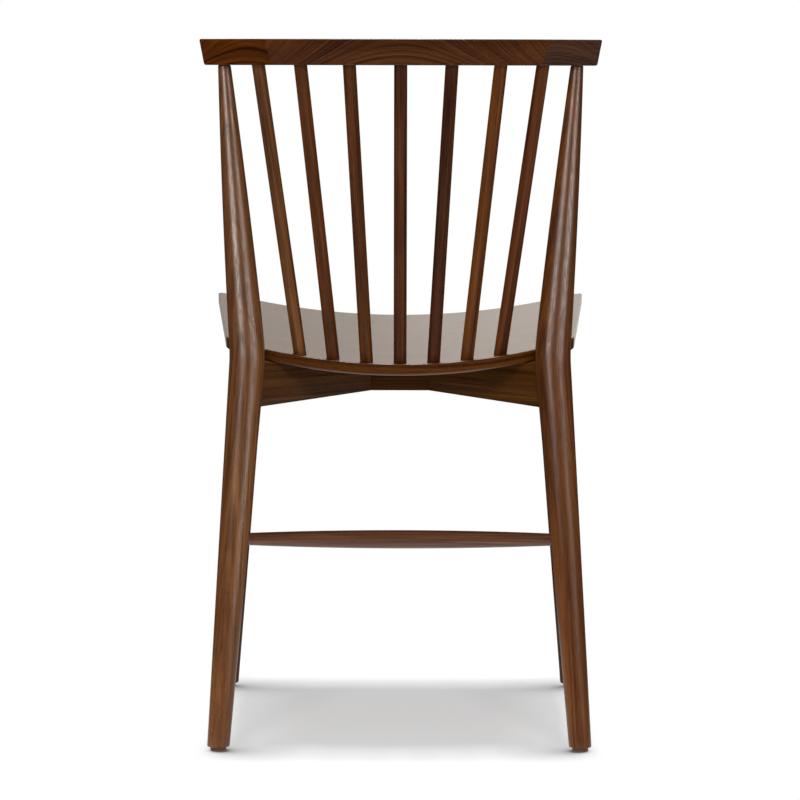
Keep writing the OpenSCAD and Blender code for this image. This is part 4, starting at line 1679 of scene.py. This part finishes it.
@dataclass
class Studio:
    """A white studio: the floor, the room's light, the lamps and the camera.

    Lengths are in millimetres, and the floor's distances are measured from the chair's middle.

    Attributes:
        camera_place: where the camera stands.
        camera_pitch: how far down it looks, in degrees.
        camera_roll: how far it is turned about its line of sight, in degrees.
        lens: its focal length.
        floor_size: the side of the square floor.
        floor_paint: the colour of the floor.
        floor_lift: how much light is added to the lit floor, which keeps the shadow pale.
        floor_whitens: distances between which the lit floor fades into plain white.
        contact_reach: how far from a foot its contact shadow reaches.
        contact_black: the openness to the sky at which that shadow is black.
        shadow_ends: distances from the middle plane between which the chair's shadow ends.
        shadow_pales: distances from the middle plane between which it pales towards the feet.
        shadow_paling: how much it pales there.
        shadow_rows: distances to the front or back between which that paling comes in.
        mirrored_floor: distances between which the floor dims in reflections.
        mirrored_light: how bright the floor by the chair is in reflections.
        room_light: the strength of the room's even light.
        dim: the strength of the room in reflections.
    """

    camera_place: Point = (0.0, 4465.0, 754.1)
    camera_pitch: float = 4.86
    camera_roll: float = 0.12
    lens: float = 173.53
    floor_size: float = 30000.0
    floor_paint: str = "#f4f4f4"
    floor_lift: float = 0.1
    floor_whitens: Plan = (700.0, 1600.0)
    contact_reach: float = 90.0
    contact_black: float = 0.28
    shadow_ends: Plan = (190.0, 230.0)
    shadow_pales: Plan = (110.0, 200.0)
    shadow_paling: float = 0.27
    shadow_rows: Plan = (225.0, 190.0)
    mirrored_floor: Plan = (400.0, 800.0)
    mirrored_light: float = 0.8
    room_light: float = 0.45
    dim: float = 0.03

    def floor(self) -> None:
        """Makes a white floor that keeps the chair's shadow and fades into the white room."""
        mesh = bpy.data.meshes.new("studio_floor")
        half = self.floor_size / 2 * MM
        mesh.from_pydata([(-half, -half, 0), (half, -half, 0), (half, half, 0), (-half, half, 0)], [],
                         [(0, 1, 2, 3)])
        obj = linked("studio_floor", mesh)
        material, tree = blank_material("white_painted_floor")
        # Lamp sampling can't tell a glossy ray from another, so the floor does without it.
        material.cycles.emission_sampling = "NONE"
        paint = add(tree, "ShaderNodeBsdfDiffuse", {"Color": linear(self.floor_paint)})
        lift = add(tree, "ShaderNodeEmission", {"Color": WHITE, "Strength": self.floor_lift})
        lifted = add(tree, "ShaderNodeAddShader", {0: paint, 1: lift})
        open_sky = add(tree, "ShaderNodeAmbientOcclusion", {"Distance": self.contact_reach * MM},
                       samples=16)
        contact = add(tree, "ShaderNodeMapRange", {
            "Value": open_sky.outputs["AO"], "From Min": self.contact_black})
        touched = add(tree, "ShaderNodeMixShader", {0: contact, 2: lifted})
        white = add(tree, "ShaderNodeEmission", {"Color": WHITE, "Strength": 1.0})
        place = add(tree, "ShaderNodeTexCoord").outputs["Object"]
        away = add(tree, "ShaderNodeVectorMath", {0: place}, operation="LENGTH").outputs["Value"]
        fade = add(tree, "ShaderNodeMapRange", {"Value": away, **between(self.floor_whitens)},
                   interpolation_type="SMOOTHSTEP")
        whiter = add(tree, "ShaderNodeMath", {0: fade, 1: self._shadow_sides(tree, place)},
                     operation="MAXIMUM")
        seen = add(tree, "ShaderNodeMixShader", {0: whiter, 1: touched, 2: white})
        near = add(tree, "ShaderNodeMapRange", {
            "Value": away, **between(self.mirrored_floor), "To Min": self.mirrored_light,
            "To Max": self.dim})
        mirrored = add(tree, "ShaderNodeEmission", {"Color": WHITE, "Strength": near})
        path = add(tree, "ShaderNodeLightPath").outputs
        other = add(tree, "ShaderNodeMixShader", {0: path["Is Glossy Ray"], 1: paint, 2: mirrored})
        surface = add(tree, "ShaderNodeMixShader", {0: path["Is Camera Ray"], 1: other, 2: seen})
        add(tree, "ShaderNodeOutputMaterial", {"Surface": surface})
        mesh.materials.append(material)

    def _shadow_sides(self, tree: Tree, place: Socket) -> Socket:
        """Works out where the shadow is whitened: a little towards the feet, wholly outside them.

        Args:
            tree: the floor material's tree.
            place: the place on the floor.

        Returns:
            How far the floor is whitened, from 0 to 1.
        """
        parts = add(tree, "ShaderNodeSeparateXYZ", {0: place})
        across, along = [add(tree, "ShaderNodeMath", {0: parts.outputs[axis]}, operation="ABSOLUTE")
                         for axis in ("X", "Y")]
        outside = add(tree, "ShaderNodeMapRange", {"Value": across, **between(self.shadow_ends)},
                      interpolation_type="SMOOTHSTEP")
        beside = add(tree, "ShaderNodeMapRange", {
            "Value": across, **between(self.shadow_pales), "To Max": self.shadow_paling})
        in_rows = add(tree, "ShaderNodeMapRange", {"Value": along, **between(self.shadow_rows)})
        inside = add(tree, "ShaderNodeMath", {0: beside, 1: in_rows}, operation="MULTIPLY")
        return add(tree, "ShaderNodeMath", {0: outside, 1: inside}, operation="MAXIMUM").outputs[0]

    def room(self) -> None:
        """Lights the room evenly, with a backdrop that is white to the camera and dim in gloss."""
        world = bpy.data.worlds.new("white_room")
        bpy.context.scene.world = world
        world.use_nodes = True
        # Lamp sampling would reflect the room at its full strength.
        world.cycles.sampling_method = "NONE"
        tree = world.node_tree
        tree.nodes.clear()
        path = add(tree, "ShaderNodeLightPath").outputs
        glossy = add(tree, "ShaderNodeMix", {
            "Factor": path["Is Glossy Ray"], 2: self.room_light, 3: self.dim}, data_type="FLOAT")
        seen = add(tree, "ShaderNodeMath", {0: path["Is Camera Ray"], 1: glossy}, operation="MAXIMUM")
        light = add(tree, "ShaderNodeBackground", {"Color": WHITE, "Strength": seen})
        add(tree, "ShaderNodeOutputWorld", {"Surface": light})

    def gleam(self, group: str, pieces: Sequence[str], boxes: Sequence[SoftBox]) -> None:
        """Hangs soft boxes that draw gleams on some pieces and light nothing else.

        Args:
            group: the name of the group of pieces.
            pieces: the pieces that they gleam on.
            boxes: the lamps.
        """
        receivers = bpy.data.collections.new(group)
        for piece in pieces:
            receivers.objects.link(bpy.data.objects[piece])
        for box in boxes:
            lamp = box.hang()
            lamp.visible_diffuse = False
            lamp.light_linking.receiver_collection = receivers

    def camera(self) -> None:
        """Places the camera behind the chair, about level with its crest rail."""
        data = bpy.data.cameras.new("camera")
        data.lens = self.lens
        obj = linked("camera", data)
        obj.location = Vector(self.camera_place) * MM
        aim = Euler((math.radians(90 - self.camera_pitch), 0, math.pi)).to_matrix()
        roll = Matrix.Rotation(math.radians(self.camera_roll), 3, "Z")
        obj.rotation_euler = (aim @ roll).to_euler()
        bpy.context.scene.camera = obj

    def build(self) -> None:
        """Sets up the whole studio."""
        self.floor()
        self.room()
        SoftBox("overhead_box", (0, -140, 3200), (0, 0, 0), (900, 800), 72).hang()
        back = SoftBox("back_box", (0, 4200, 3100), (0, 200, 400), (2600, 1200), 110).hang()
        back.visible_glossy = False
        warm = "#fff6ef"
        self.gleam("polished_legs", ("rear_leg_and_post_left", "rear_leg_and_post_right"), (
            SoftBox("left_low_box", (1220, 2770, 5), (1220, 2770, 1000), (1300, 2000), 430,
                    turn=-28, colour=warm, spread=170),
            SoftBox("right_low_box", (-2050, 2100, 5), (-2050, 2100, 1000), (850, 2000), 250,
                    turn=47, colour=warm),
            SoftBox("left_box", (1080, 2230, 700), (845, 1789, 1566), (800, 500), 43,
                    colour=warm, spread=152),
            SoftBox("right_box", (-1680, 1770, 700), (-1315, 1429, 1566), (560, 500), 31,
                    colour=warm, spread=152)))
        self.gleam("polished_seat", ("seat_board",), [
            SoftBox(f"backdrop_{side.word}", (800 * side.value, -3000, 900),
                    (800 * side.value, 0, 900), (1600, 1760), power, colour="#fffbf2")
            for side, power in zip(Side, (5.5, 10.3))])
        self.camera()
        bpy.context.scene.view_settings.view_transform = "Standard"


def main() -> None:
    """Builds the chair and the studio."""
    logging.basicConfig(level=logging.INFO, format="%(name)s: %(message)s")
    plan = ChairPlan()
    wood = Walnut("walnut_lacquered")
    board = replace(wood, name="walnut_seat_board", tone="#502c10", coat=0.55, unevenness=0.25,
                    stave=96.0, pith=(30.0, 160.0), wander=5.0, streak=0.3, seed=2.0)
    # The seat's rear edge gets a darker, duller copy of the board: painted shade.
    Seat(plan).build(board, replace(board, name="walnut_seat_edge", tone="#492609", gloss=0.1))
    crest = replace(wood, wander=0.4, fibre=0.2)
    CrestRail(plan).build(
        replace(crest, name="walnut_crest_middle", tone="#4f2808", gloss=0.6, contrast=0.7,
                pith=(-160.0, 78.0), layer=0.5, seed=1.0),
        replace(crest, name="walnut_crest_left", tone="#4a2202", gloss=0.12, contrast=0.85,
                pith=(-160.0, 74.0), layer=0.55, seed=5.0),
        replace(crest, name="walnut_crest_right", tone="#442817", contrast=0.65,
                pith=(-160.0, 80.0), layer=0.4, fibre=0.3, seed=8.0))
    turnery = Turnery()
    tones = ("#6d411b", "#572b05", "#552b02", "#552b07", "#4b2306", "#613101", "#5d2d06")
    SpindleBack(plan, turnery).build([
        replace(wood, name=f"walnut_spindle_{i}", tone=tone, layer=4.2, seed=3.0 + 1.7 * i)
        for i, tone in enumerate(tones, start=1)])
    leg = replace(wood, gloss=0.5, fibre=0.5, layer=3.4, tilt=3.0, wander=5.0)
    # Each rear leg's wood darkens above the seat as painted shade on its post.
    Legs(plan, turnery).build({
        Side.LEFT: replace(leg, name="walnut_leg_left", tone="#704522", deepening=0.45, seed=11.0),
        Side.RIGHT: replace(leg, name="walnut_leg_right", tone="#633611", deepening=0.35, seed=14.0)},
        # The front legs' darker, duller wood is painted shade: they stand in the chair's shadow.
        replace(wood, name="walnut_front_legs", tone="#4a2a14", gloss=0.1, seed=17.0))
    Stretchers(plan, turnery).build(
        replace(wood, name="walnut_side_stretchers", seed=21.0),
        replace(wood, name="walnut_medial_stretcher", tone="#684129", layer=3.0, seed=24.0))
    shade = replace(wood, tone="#4a2a05", layer=3.0)
    SeatFrame(plan).build({
        "diagonal_rail_left": replace(shade, name="walnut_rail_left", tone="#4c2c0d", seed=27.0),
        "diagonal_rail_right": replace(shade, name="walnut_rail_right", gloss=0.4, seed=31.0),
        "rear_glue_block": replace(shade, name="walnut_rear_block", gloss=0.1, seed=33.0),
        "front_glue_block": replace(shade, name="walnut_front_block", seed=36.0)})
    steel = ZincSteel().build()
    Glides(plan).build(MouldedPlastic().build(), steel)
    dress("seat_screws", steel)
    # The tenons are beech and show only in the joints, so the walnut's pattern does for them.
    dress("crest_loose_tenons", replace(
        wood, name="beech_loose_tenons", tone="#b98d5f", contrast=0.2, streak=0.2, turn=(0, 0, 0),
        coat=0.0, roughness=0.64).build())
    Studio().build()


if __name__ == "__main__":
    main()
